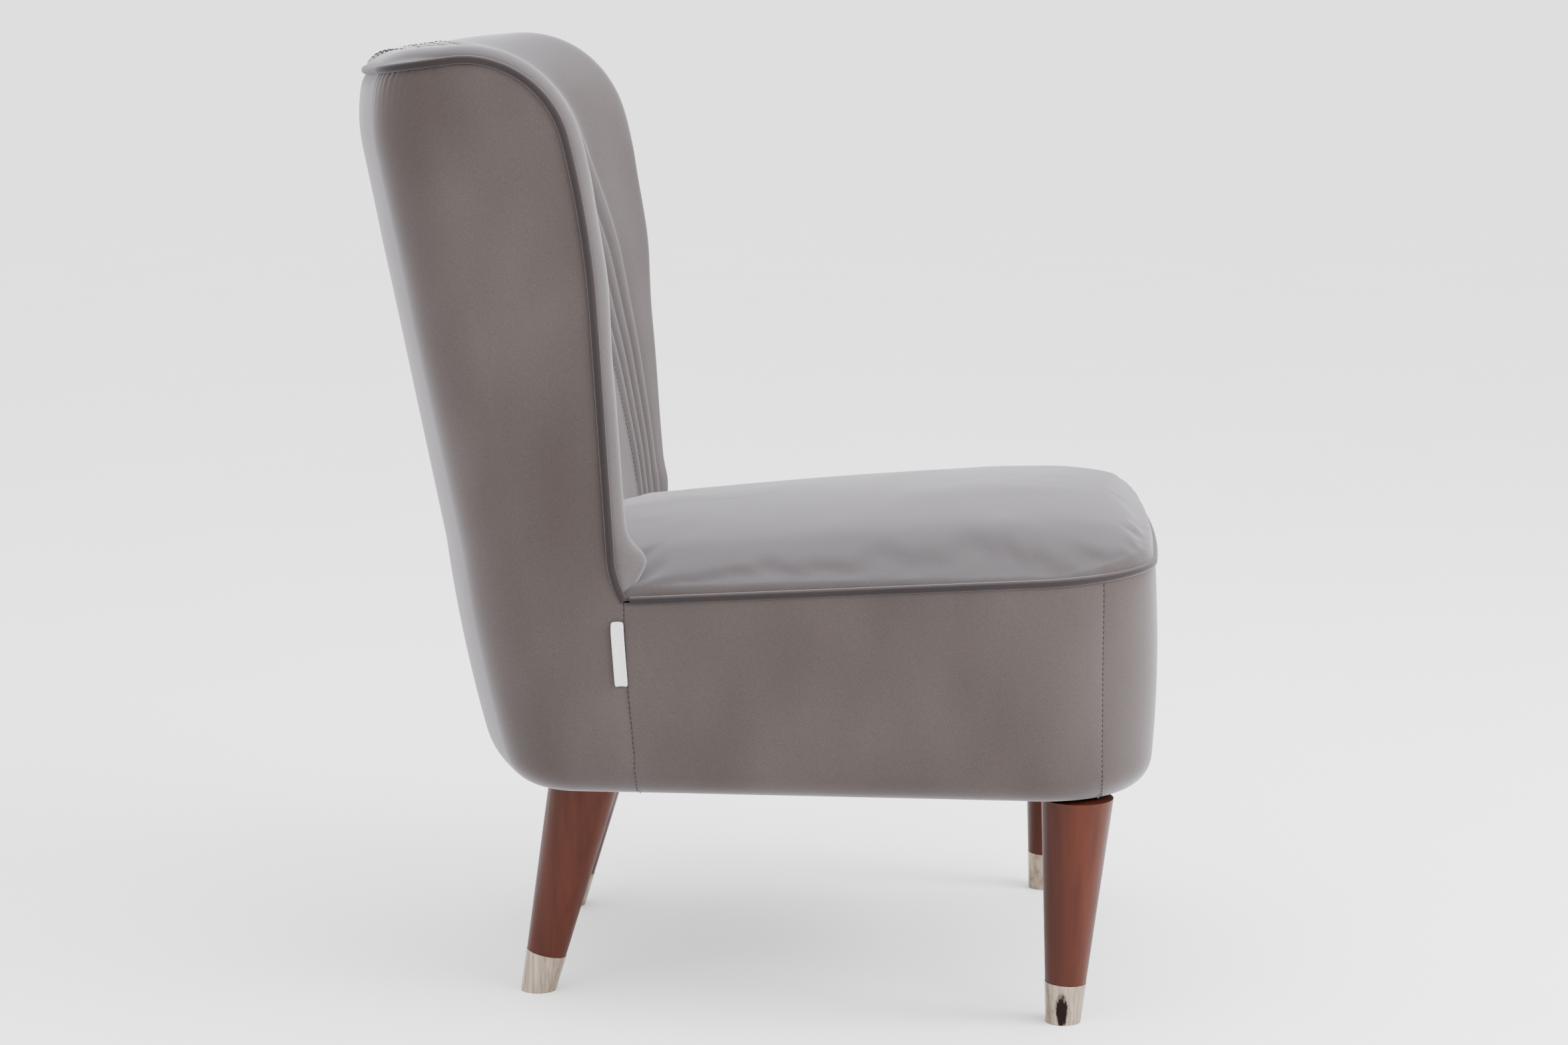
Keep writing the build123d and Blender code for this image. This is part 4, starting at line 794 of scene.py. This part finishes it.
# %% Rows of the inside back
FIRST_SLICE, SLICE_STEP, MOST_SLICES, TURN_ROOM = 384.0, 8.0, 60, 3
TURN_STEPS, RIM_STEPS = 20, 10
EDGE_GAP, RIM_OVER, RIM_FROM = 2.0, 3.0, 20.0       # edge inside the welt; rim edge beyond it, and its start
EDGE_SET = WELT_INSET + EDGE_GAP
RIM_MIDDLE = (0.0, 336.0, 859.0)
CORNER_POINTS, ARC_POINTS, CORNER_FAN = 60, 120, 22


def middle_of(h):
    return 0.0, centre_y(h), slice_z(centre_y(h), h)


halves = []
top_z = WING_Z + WING_R * sin(SWEEP_HIGH)
levels = ladder(FIRST_SLICE, SLICE_STEP, MOST_SLICES)
slices = [h for h in levels if slice_z(edge_y(h), h) < top_z - TURN_ROOM]
for h in slices:
    y, peak = seam_y(h) if h < HOOK_Z else edge_y(h), crest(h)
    edge = (side_x(y, EDGE_SET), y, slice_z(y, h))
    halves.append(inside_row(edge, (*peak, slice_z(peak[1], h)), middle_of(h), h))
for k in range(TURN_STEPS + 1):
    lean = mix(SWEEP_HIGH, pi / 2 + RIM_SLOPE, k / TURN_STEPS)
    h = mix(slices[-1] + SLICE_STEP / 2, PANEL_TOP, k / TURN_STEPS)
    y, peak_y = WING_Y - WING_R * cos(lean), WING_Y - (WING_R + WING_ROLL) * cos(lean)
    edge = (side_x(y, EDGE_SET), y, WING_Z + WING_R * sin(lean))
    peak = (side_x(peak_y, EDGE_INSET), peak_y, WING_Z + (WING_R + WING_ROLL) * sin(lean))
    halves.append(inside_row(edge, peak, middle_of(h), h))
rear = rear_half(RIM_H, WELT_INSET - RIM_OVER, WING_Y + RIM_FROM, (1, CORNER_POINTS, ARC_POINTS))
corner, rear_arc = rear[1:CORNER_POINTS + 2], rear[CORNER_POINTS + 1:]
start_x, start_y, _ = corner[0]
edge = (start_x - EDGE_GAP, start_y, RIM_H - RIM_FALL * (start_y - WING_Y))
peak = (start_x - EDGE_INSET, start_y, edge[2] + WING_ROLL)
ridge = inside_row(edge, peak, RIM_MIDDLE, PANEL_TOP)
halves.append(ridge)
for k in range(1, RIM_STEPS + 1):
    turn = k / RIM_STEPS * pi / 2
    row = [corner[round(k / RIM_STEPS * CORNER_POINTS)]]
    for c, (x, y, z) in enumerate(ridge[1:], 1):
        aim_x = x
        if x > FAN_TOP[0]:
            aim_x = mix(rear_arc[0][0], FAN_TOP[0], min(1.0, c / CORNER_FAN))
        aim = min(rear_arc, key=lambda p: abs(p[0] - aim_x))
        row.append((mix(x, aim_x, sin(turn)), mix(y, aim[1], sin(turn)), mix(z, aim[2], 1 - cos(turn))))
    halves.append(row)
print("inside back:", len(slices), "rows up the wing,", len(halves) - len(slices), "over the top")

# %% Foot of the wing edge
FLARE_LEFT, FLARE_RIGHT, FLARE_W = 3.0, 17.0, 30.0     # foot of each wing edge where it stands on the seat
FLARE_H, FLARE_FADE, FLARE_DROP = 420.0, 12.0, 22.0    # its height, and how it fades above and below


def foot_flare(half, h, size):
    """Spreads the rolled edge of a half row forward where it stands on the seat."""
    above = (h - FLARE_H) / (FLARE_FADE if h > FLARE_H else FLARE_DROP)
    peak_x, flared = half[ROLL_STEPS][0], []
    for c, (x, y, z) in enumerate(half):
        share = smooth((x - peak_x + FLARE_W) / FLARE_W)
        if c < ROLL_STEPS:
            share = sin(c / ROLL_STEPS * pi / 2) ** ROLL_FULL
        flared.append((x, y - size * exp(-above * above) * share, z))
    return flared


print("foot of the wing edges, left and right, mm:", FLARE_LEFT, FLARE_RIGHT)

# %% Inside back cover
PUFF_SIZE, PUFF = 70.0, 1.6                         # unevenness of the filling
EASED_ROWS, EASED_COLUMNS, EASING = 4, 24, (5, 0.5)    # the wing tops are evened out: times, share


def relax(rows, times, weight):
    """Evens a net out; weight says how freely a point moves, and the border stays put."""
    for _ in range(times):
        before = [list(row) for row in rows]
        for r in range(1, len(rows) - 1):
            for c in range(1, len(rows[0]) - 1):
                share = weight(r, c)
                if share:
                    here = before[r][c]
                    around = (before[r - 1][c], before[r + 1][c], before[r][c - 1], before[r][c + 1])
                    rows[r][c] = tuple(mix(here[k], sum(p[k] for p in around) / 4, share) for k in range(3))
    return rows


inside_rows = []
for r, half in enumerate(halves):
    soft = half[:1] + [(x, y + wobble(x, 0, z, PUFF_SIZE, PUFF), z) for x, y, z in half[1:]]
    row = half_and_mirror(soft)
    if r < len(slices):
        right = foot_flare(soft[:-1], slices[r], FLARE_RIGHT)
        row = foot_flare(soft, slices[r], FLARE_LEFT) + mirrored(right)
    inside_rows.append(row)
width = len(inside_rows[0])


def freedom(r, c):
    """Partly free at the wing tops, held elsewhere."""
    at_top = r > len(slices) - EASED_ROWS and min(c, width - 1 - c) < EASED_COLUMNS
    return EASING[1] if at_top else 0.0


inside_rows = relax(inside_rows, EASING[0], freedom)
inside_net = net(inside_rows, flip=True)
inside_back = add_piece("inside_back_velvet", *inside_net, "velvet", ["inside_back_cover"], 3.0)
# painted light: the inside back takes the lighter copy of the velvet
inside_back.data.materials[0] = painted_lit_velvet
print("inside back:", len(inside_rows), "rows of", width, "columns")

# %% [markdown]
# ## Seat top
#
# The seat is crowned: highest behind the front edge, falling to the welt on three sides. A plain grid would
# leave jagged edges at the rounded corners, so this cover is made of rings that follow the welt and close in
# on the middle. It runs on under the back, where the two covers press together.

# %% Crown of the seat
CROWN = ((0, 2), (6, 13), (14, 21), (33, 33), (72, 43), (115, 47),    # behind the front, above the welt
         (165, 48.5), (300, 47), (450, 40), (560, 33))
SIDE_FROM, SIDE_FALL, EDGE_FALL, EDGE_BEND = 0.6, 0.265, 0.525, 0.21    # shares of half width and of height
SEAT_SLACK, SEAT_CREASES, SEAT_TUCKS = (95.0, 1.8), (34.0, 0.5), (13.0, 1.5)    # noise size and amount
SEAT_ROLL, SEAT_LIFT, TUCK_REACH = 6.0, 0.8, 12.0
MIDDLE_LINE = (-190.0, 20.0)                        # the rings close in on this part of the centre line


def table(rows, x):
    """Smooth reading of a table."""
    for i in range(len(rows) - 1):
        (x0, y0), (x1, y1) = rows[i], rows[i + 1]
        if x <= x1:
            before, after = rows[max(0, i - 1)], rows[min(len(rows) - 1, i + 2)]
            m0 = (y1 - before[1]) / (x1 - before[0])
            m1 = (after[1] - y0) / (after[0] - x0)
            t, run = (x - x0) / (x1 - x0), x1 - x0
            return ((1 + 2 * t) * (1 - t) ** 2 * y0 + t * (1 - t) ** 2 * run * m0
                    + t * t * (3 - 2 * t) * y1 + t * t * (t - 1) * run * m1)
    return rows[-1][1]


def crown(x, y):
    """Height of the padded top above the welt, without its rolled edge."""
    across = min(1.0, abs(x) / HALF_WIDTH)
    out = max(0.0, (across - SIDE_FROM) / (1 - SIDE_FROM))
    share = 1 - SIDE_FALL * (across / SIDE_FROM) ** 2
    if across >= SIDE_FROM:
        share = 1 - SIDE_FALL - EDGE_FALL * out - EDGE_BEND * out**2
    return table(CROWN, max(0.0, y - FRONT_Y)) * share + SEAT_LIFT


def seat_z(x, y, inset):
    """Height of the cover; inset is the distance from the welt."""
    roll = 1 - min(1.0, inset / SEAT_ROLL)
    soft = wobble(x, y, 0, *SEAT_SLACK) + wobble(x, y, 3, *SEAT_CREASES)
    tucks = wobble(x, y, 7, *SEAT_TUCKS) * exp(-inset / TUCK_REACH)
    return welt_z(y) + (crown(x, y) + max(0.0, soft) + tucks) * sqrt(1 - roll**2)


def rings_within(edge, insets, height):
    """Rings from an outline in to its middle line."""
    rings = []
    for inset in insets:
        share = 1 - inset / insets[-1]
        ring = []
        for x, y in edge:
            middle = min(MIDDLE_LINE[1], max(MIDDLE_LINE[0], y))
            px, py = x * share, mix(middle, y, share)
            ring.append((px, py, height(px, py, inset)))
        rings.append(ring)
    return rings


print("crown above the welt in the middle, mm:", round(crown(0.0, -200.0), 1))

# %% Seat top cover
SEAT_RINGS = (0, 0.7, 1.8, 3.5, 6, 9, 13, 18, 25, 33, 43, 55, 69, 85, 103, 123, 145, 168, 192, 217, 240, 250)
WALL_SET = 1.0                                          # welt line, inward from the wall
SEAT_BACK_H, UNDER_BACK, BACK_STEPS = 430.0, 14.0, 48   # the cover runs on under the back
SEAT_START_Y, SEAT_END_Y = 120.0, 122.0

edge = front_half(WELT_FRONT_Z, WALL_SET, SEAT_START_Y, FRONT_SEAM_Y, (40, 8))[0][:-1]
edge = half_and_mirror(edge + band_half(WELT_FRONT_Z, WALL_SET))
seat_peak = crest(SEAT_BACK_H)
for k in range(1, BACK_STEPS):
    x = mix(edge[0][0], -edge[0][0], 1 - k / BACK_STEPS)
    inside = abs(x) < seat_peak[0]
    edge.append((x, inside_y(x, SEAT_BACK_H, seat_peak) + UNDER_BACK if inside else SEAT_END_Y))
rings = rings_within(edge, SEAT_RINGS, seat_z)
seat_net = net(rings, flip=True, closed=True)
seat_top = add_piece("seat_top_velvet", *seat_net, "velvet", ["seat_top_cover"], 2.0)
highest = max(point[2] for ring in rings for point in ring)
print("seat top:", len(rings), "rings of", len(edge), "; highest z, mm:", round(highest, 1))

# %% [markdown]
# ## The seat under tension
#
# The top cover is cut a little large and the filling presses it out. Wrinkles could be painted with noise,
# but a short cloth run finds where they really form: it is sewn down along the welt and under the back, and
# pressure lifts the rest. Only movement outward is kept, by a few millimetres, so the filling never comes
# through.

# %% Seat cover settles
PRESSURE, CLOTH_EASE, CLOTH_FRAMES, MOVE_CAP = 1.0, 0.010, 16, 3.0
HIDDEN_X, HIDDEN_H, HIDDEN_BEFORE = 230, 440, 12    # under the back: half width, slice and margin


def sewn_points(mesh):
    """Points on the border of the cover, and those hidden under the back."""
    reader = bmesh.new()
    reader.from_mesh(mesh)
    border = [v.index for v in reader.verts if v.is_boundary]
    hidden = []
    for v in reader.verts:
        x, y = min(abs(v.co.x / MM), HIDDEN_X), v.co.y / MM
        if y > inside_y(x, HIDDEN_H, seat_peak) - HIDDEN_BEFORE:
            hidden.append(v.index)
    reader.free()
    return border + hidden


def settle(piece, pressure, ease, frames, cap):
    """Runs the cover as cloth, held at its border, and keeps the capped result."""
    trial = bpy.data.objects.new("trial", piece.data.copy())
    bpy.context.collection.objects.link(trial)
    trial.vertex_groups.new(name="sewn").add(sewn_points(trial.data), 1.0, "REPLACE")
    cloth = trial.modifiers.new("settle", "CLOTH")
    cloth.settings.vertex_group_mass = "sewn"
    cloth.settings.quality = 6
    cloth.settings.mass = 0.25
    cloth.settings.tension_stiffness = cloth.settings.compression_stiffness = 18
    cloth.settings.bending_stiffness = 0.35
    cloth.settings.use_pressure = True
    cloth.settings.uniform_pressure_force = pressure
    cloth.settings.shrink_min = -ease
    cloth.settings.effector_weights.gravity = 0
    cloth.point_cache.frame_start, cloth.point_cache.frame_end = 1, frames
    for number in range(1, frames + 1):
        bpy.context.scene.frame_set(number)
    settled = trial.evaluated_get(bpy.context.evaluated_depsgraph_get()).to_mesh()
    normals = [vert.normal.copy() for vert in piece.data.vertices]
    moved = []
    for vert, after, normal in zip(piece.data.vertices, settled.vertices, normals):
        out = (after.co - vert.co).dot(normal) / MM
        moved.append(min(cap, max(0.0, out)))
        vert.co += normal * moved[-1] * MM
    bpy.context.scene.frame_set(1)
    bpy.data.objects.remove(trial)
    mean = sum(moved) / len(moved)
    print("seat cover moved out by", round(mean, 2), "mm on average, at most", round(max(moved), 2))


settle(seat_top, PRESSURE, CLOTH_EASE, CLOTH_FRAMES, MOVE_CAP)

# %% [markdown]
# ## Welts
#
# A welt is a cord wrapped in a bias strip of the same velvet, so it reads darker than the panels beside it. A
# bevelled curve is the natural tool: its points come from the same edges as the covers, and its radius swells
# and tightens a little between stitches.

# %% Welts
WELT_START = JOIN_Y - 6.0
CORD_VARIES, CORD_STEP = 0.04, 0.37                      # share of the radius; stride along the noise
HOOK_POINTS, SWEEP_POINTS, TURN_POINTS = 12, 70, 30


def welt(name, points, nodes, radius=WELT_R):
    """A round cord along points in mm, kept as a mesh."""
    line = bpy.data.curves.new(name, "CURVE")
    line.dimensions, line.use_fill_caps = "3D", True
    line.bevel_depth, line.bevel_resolution = radius * MM, 5
    spline = line.splines.new("POLY")
    spline.points.add(len(points) - 1)
    for k, (x, y, z) in enumerate(points):
        spline.points[k].co = (x * MM, y * MM, z * MM, 1)
        spline.points[k].radius = 1.0 + CORD_VARIES * noise.noise(Vector((k * CORD_STEP, 0, 0)))
    shown = bpy.data.objects.new(name, line)
    bpy.context.collection.objects.link(shown)
    mesh = bpy.data.meshes.new_from_object(shown)
    bpy.data.objects.remove(shown)
    piece = bpy.data.objects.new(name, mesh)
    bpy.context.collection.objects.link(piece)
    for face in mesh.polygons:
        face.use_smooth = True
    mesh.materials.clear()
    mesh.materials.append(materials["welt"])
    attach(piece, "root")
    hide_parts(*nodes)
    return piece


def on_wall(y, z):
    return side_x(y, WELT_INSET), y, z


half = front_half(WELT_FRONT_Z, WALL_SET, WELT_START, FRONT_SEAM_Y, (90, 16))[0][:-1]
half = [(x, y, welt_z(y)) for x, y in half + band_half(WELT_FRONT_Z, WALL_SET, (30, 50))]
welt("seat_welt_velvet", half_and_mirror(half), ["seat_welt"])
hook = [mix(welt_z(JOIN_Y), HOOK_Z, k / HOOK_POINTS) for k in range(HOOK_POINTS)]
sweep = [mix(HOOK_Z, top_z, k / SWEEP_POINTS) for k in range(SWEEP_POINTS)]
wing = [on_wall(seam_y(z), z) for z in hook] + [on_wall(wing_y(z), z) for z in sweep]
for k in range(TURN_POINTS + 1):
    lean = mix(SWEEP_HIGH, pi / 2 + RIM_SLOPE, k / TURN_POINTS)
    wing.append(on_wall(WING_Y - WING_R * cos(lean), WING_Z + WING_R * sin(lean)))
wing += rear_half(RIM_H, WALL_SET, wing[-1][1], (16, 24, 50))[1:]
welt("back_welt_velvet", half_and_mirror(wing), ["back_welt"])
print("welts:", len(half), "and", len(wing), "points on each half")

# %% [markdown]
# ## Stitches
#
# Dark thread shows as short stitches in the side seams and along the fan's lines; its dark colour is also
# painted shade, standing in for the shade in the seam valleys. A bump texture would not survive a close look,
# and a curve for each stitch would be hundreds of objects. Here each seam is one mesh of tiny six-sided
# spindles.

# %% Stitches
STITCH, SEAM_GAP, SEAM_THREAD, FAN_GAP, FAN_THREAD = 3.4, 1.2, 0.62, 1.0, 0.6
SPINDLE = ((0.0, 0.35), (0.25, 1.0), (0.75, 1.0), (1.0, 0.35))    # share of the length, share of the radius
SIDES = 6
FRONT_COLUMN, REAR_COLUMN = -3, 2                   # two turned-in points lie beyond each seam
THREAD_SINK, HIDDEN_ROWS = 0.9994, 4                # a hair inside the surface, and none under the body
FAN_OUT, FAN_UP, FAN_ROWS = 0.5, 0.2, slice(5, -2)  # thread clear of the folds, short of both ends


# the stitches take the dark welt velvet: real thread, and partly painted shade along the seam valleys
def stitches(name, path, length, gap, radius, slot="welt"):
    """One mesh of short threads along a path of points."""
    verts, faces, total = [], [], [0.0]
    for a, b in zip(path, path[1:]):
        total.append(total[-1] + (Vector(b) - Vector(a)).length)
    start = gap
    while start + length < total[-1]:
        ends = []
        for at in (start, start + length):
            i = max(k for k in range(len(total)) if total[k] <= at)
            t = (at - total[i]) / (total[i + 1] - total[i])
            ends.append(Vector(path[i]).lerp(Vector(path[i + 1]), t))
        axis = (ends[1] - ends[0]).normalized()
        side = axis.orthogonal().normalized()
        other = axis.cross(side)
        base = len(verts)
        for t, swell in SPINDLE:
            middle = ends[0].lerp(ends[1], t)
            for k in range(SIDES):
                angle = k * pi / (SIDES / 2)
                verts.append(middle + (side * cos(angle) + other * sin(angle)) * radius * swell)
        for ring in range(len(SPINDLE) - 1):
            for k in range(SIDES):
                a, b = base + ring * SIDES + k, base + ring * SIDES + (k + 1) % SIDES
                faces.append((a, b, b + SIDES, a + SIDES))
        last_ring = base + (len(SPINDLE) - 1) * SIDES
        faces.append(tuple(base + k for k in reversed(range(SIDES))))
        faces.append(tuple(last_ring + k for k in range(SIDES)))
        start += length + gap
    return add_piece(name, verts, faces, slot, levels=0)


def seam_line(column, side, rows_in):
    """Points down a column of a cover's net, a hair inside its surface."""
    points = [row[column] for row in rows_in[HIDDEN_ROWS:]]
    return [(side * x * THREAD_SINK, y, z) for x, y, z in points]


for side, label in ((1, "left"), (-1, "right")):
    front = seam_line(FRONT_COLUMN, side, left_side)
    rear = seam_line(REAR_COLUMN, side, left_side)
    stitches("front_seam_stitches_" + label, front, STITCH, SEAM_GAP, SEAM_THREAD)
    stitches("rear_seam_stitches_" + label, rear, STITCH, SEAM_GAP, SEAM_THREAD)
fan_columns = [ROLL_STEPS + FOLD_STEPS * k for k in range(2, len(FAN_FOOT) + 1)]
for label, columns in (("left", fan_columns), ("right", [-1 - c for c in fan_columns])):
    for number, column in enumerate(columns, 1):
        line = [(x, y - FAN_OUT, z + FAN_UP) for x, y, z in (row[column] for row in inside_rows[FAN_ROWS])]
        stitches("fan_stitches_" + label + "_" + str(number), line, STITCH, FAN_GAP, FAN_THREAD)
print("stitches in 4 seams and along", 2 * len(fan_columns), "fan lines")

# %% [markdown]
# ## Blank tag
#
# A strip of pale tape is caught in the rear seam on the sitter's right. It could be a flat card, but tape
# springs away from the cloth at its free edge, so a small net is curled outward there.

# %% Tag
TAG_LOW, TAG_HIGH, TAG_W, TAG_ROWS, TAG_COLUMNS = 309.0, 367.0, 11.0, 9, 6
TAG_LIFT, TAG_CURL, TAG_WAVE = 0.6, 2.4, 0.8

tag_rows = []
for k in range(TAG_ROWS):
    z = mix(TAG_LOW, TAG_HIGH, k / (TAG_ROWS - 1))
    row = []
    for c in range(TAG_COLUMNS):
        t = c / (TAG_COLUMNS - 1)
        y = mix(seam_y(z) - 0.5, seam_y(z) + TAG_W, t)
        row.append((-side_x(y, belly(z) - TAG_LIFT - TAG_CURL * t * t), y, z + TAG_WAVE * sin(3 * t)))
    tag_rows.append(row)
add_piece("blank_tag", *net(tag_rows), "tag", ["seam_tag"], 0.8)
print("tag, mm:", TAG_W, "x", TAG_HIGH - TAG_LOW)

# %% [markdown]
# ## Dust cover
#
# A thin black cloth is stapled under the seat to keep dust out. A plane with rounded corners would do, but a
# stretched cloth sags a little, so it is made of rings like the seat top and hangs by about a millimetre.

# %% Dust cover
DUST_INSET, DUST_TURN_Y = 44.0, 60.0
DUST_RINGS = (0, 8, 20, 40, 70, 110, 160, 200, 240)
DUST_DROP, DUST_SAG, SAG_REACH, DUST_WAVES = 0.6, 0.8, 120.0, (60.0, 0.5)


def dust_z(x, y, inset):
    return BODY_BOTTOM - DUST_DROP - DUST_SAG * smooth(inset / SAG_REACH) - wobble(x, y, 0, *DUST_WAVES)


rim = [(x, y) for x, y, _ in rear_half(BODY_BOTTOM, DUST_INSET, DUST_TURN_Y, (6, 8, 14))]
edge = front_half(BODY_BOTTOM, DUST_INSET, DUST_TURN_Y, FRONT_SEAM_Y, (16, 6))[0][:-1]
edge = half_and_mirror(edge + band_half(BODY_BOTTOM, DUST_INSET, (8, 14)))
edge += [(-x, y) for x, y in rim[1:]] + [(x, y) for x, y in reversed(rim[1:-1])]
cloth = rings_within(edge, DUST_RINGS, dust_z)
dust = add_piece("dust_cloth", *net(cloth, closed=True), "dust_cloth", ["dust_cover"], 0.5)

# %% [markdown]
# ## Floor and light
#
# A catalogue studio is a pale sweep with big soft lamps. A single sun would cut hard shadows into the velvet.
# A bright even world does most of the work here, and disk lamps in front, behind and above shape the wings
# and the crown.

# %% Floor and light
FLOOR_HALF, WORLD_STRENGTH = 300, 2.6

floor_material, tree, bsdf = shader("pale_floor")
tone = ramp(tree, noise_map(tree, coords(tree), 3.0, 2.0), [(0.3, grey(0.92)), (0.7, grey(0.94))])
tree.links.new(tone, bsdf.inputs["Base Color"])
bsdf.inputs["Roughness"].default_value = 0.7
mesh = bpy.data.meshes.new("floor")
corners = [(x * FLOOR_HALF, y * FLOOR_HALF, 0) for x, y in ((-1, -1), (1, -1), (1, 1), (-1, 1))]
mesh.from_pydata(corners, [], [(0, 1, 2, 3)])
mesh.materials.append(floor_material)
floor = bpy.data.objects.new("floor", mesh)
bpy.context.collection.objects.link(floor)
world = bpy.data.worlds.new("studio")
bpy.context.scene.world = world
world.use_nodes = True
world.node_tree.nodes["Background"].inputs["Color"].default_value = (1.0, 1.0, 1.0, 1)
world.node_tree.nodes["Background"].inputs["Strength"].default_value = WORLD_STRENGTH


def area_light(name, place, aim, size, power):
    """A disk lamp in metres and watts, turned toward a point."""
    data = bpy.data.lights.new(name, "AREA")
    data.shape, data.size, data.energy = "DISK", size, power
    light = bpy.data.objects.new(name, data)
    bpy.context.collection.objects.link(light)
    light.location = place
    light.rotation_euler = (Vector(aim) - Vector(place)).to_track_quat("-Z", "Y").to_euler()


area_light("key", (-2.2, -2.4, 2.6), (0, 0, 0.5), 2.0, 90)
area_light("front", (-0.7, -3.0, 1.7), (0, 0.15, 0.6), 1.6, 170)
area_light("fill", (-2.6, 2.0, 1.6), (0, 0.1, 0.5), 2.2, 35)
area_light("top", (0.4, 0.0, 3.2), (0, 0, 0.4), 2.4, 45)
print("floor, world and", len(bpy.data.lights), "lamps")

# %% [markdown]
# ## Camera
#
# The picture is taken from the sitter's right with a long lens, from just above the top of the back, looking
# down by nine degrees. A tracking constraint could aim it; two angles written down are exact.

# %% Camera
SENSOR_W, LENS = 36.0, 82.6
CAMERA_AT, PITCH, YAW = (-3.3595, -0.1383, 0.9494), radians(9.05), radians(2.0)

camera_data = bpy.data.cameras.new("camera")
camera_data.sensor_fit, camera_data.sensor_width, camera_data.lens = "HORIZONTAL", SENSOR_W, LENS
camera = bpy.data.objects.new("camera", camera_data)
bpy.context.collection.objects.link(camera)
camera.location = CAMERA_AT
aim = Vector((cos(PITCH) * cos(YAW), cos(PITCH) * sin(YAW), -sin(PITCH)))
camera.rotation_euler = aim.to_track_quat("-Z", "Y").to_euler()
bpy.context.scene.camera = camera
print("camera at, m:", CAMERA_AT)

# %% [markdown]
# ## End
#
# Padding must not make the chair bigger than its frame says. The cell below only brings the scene up to date.

# %% End
bpy.context.view_layer.update()
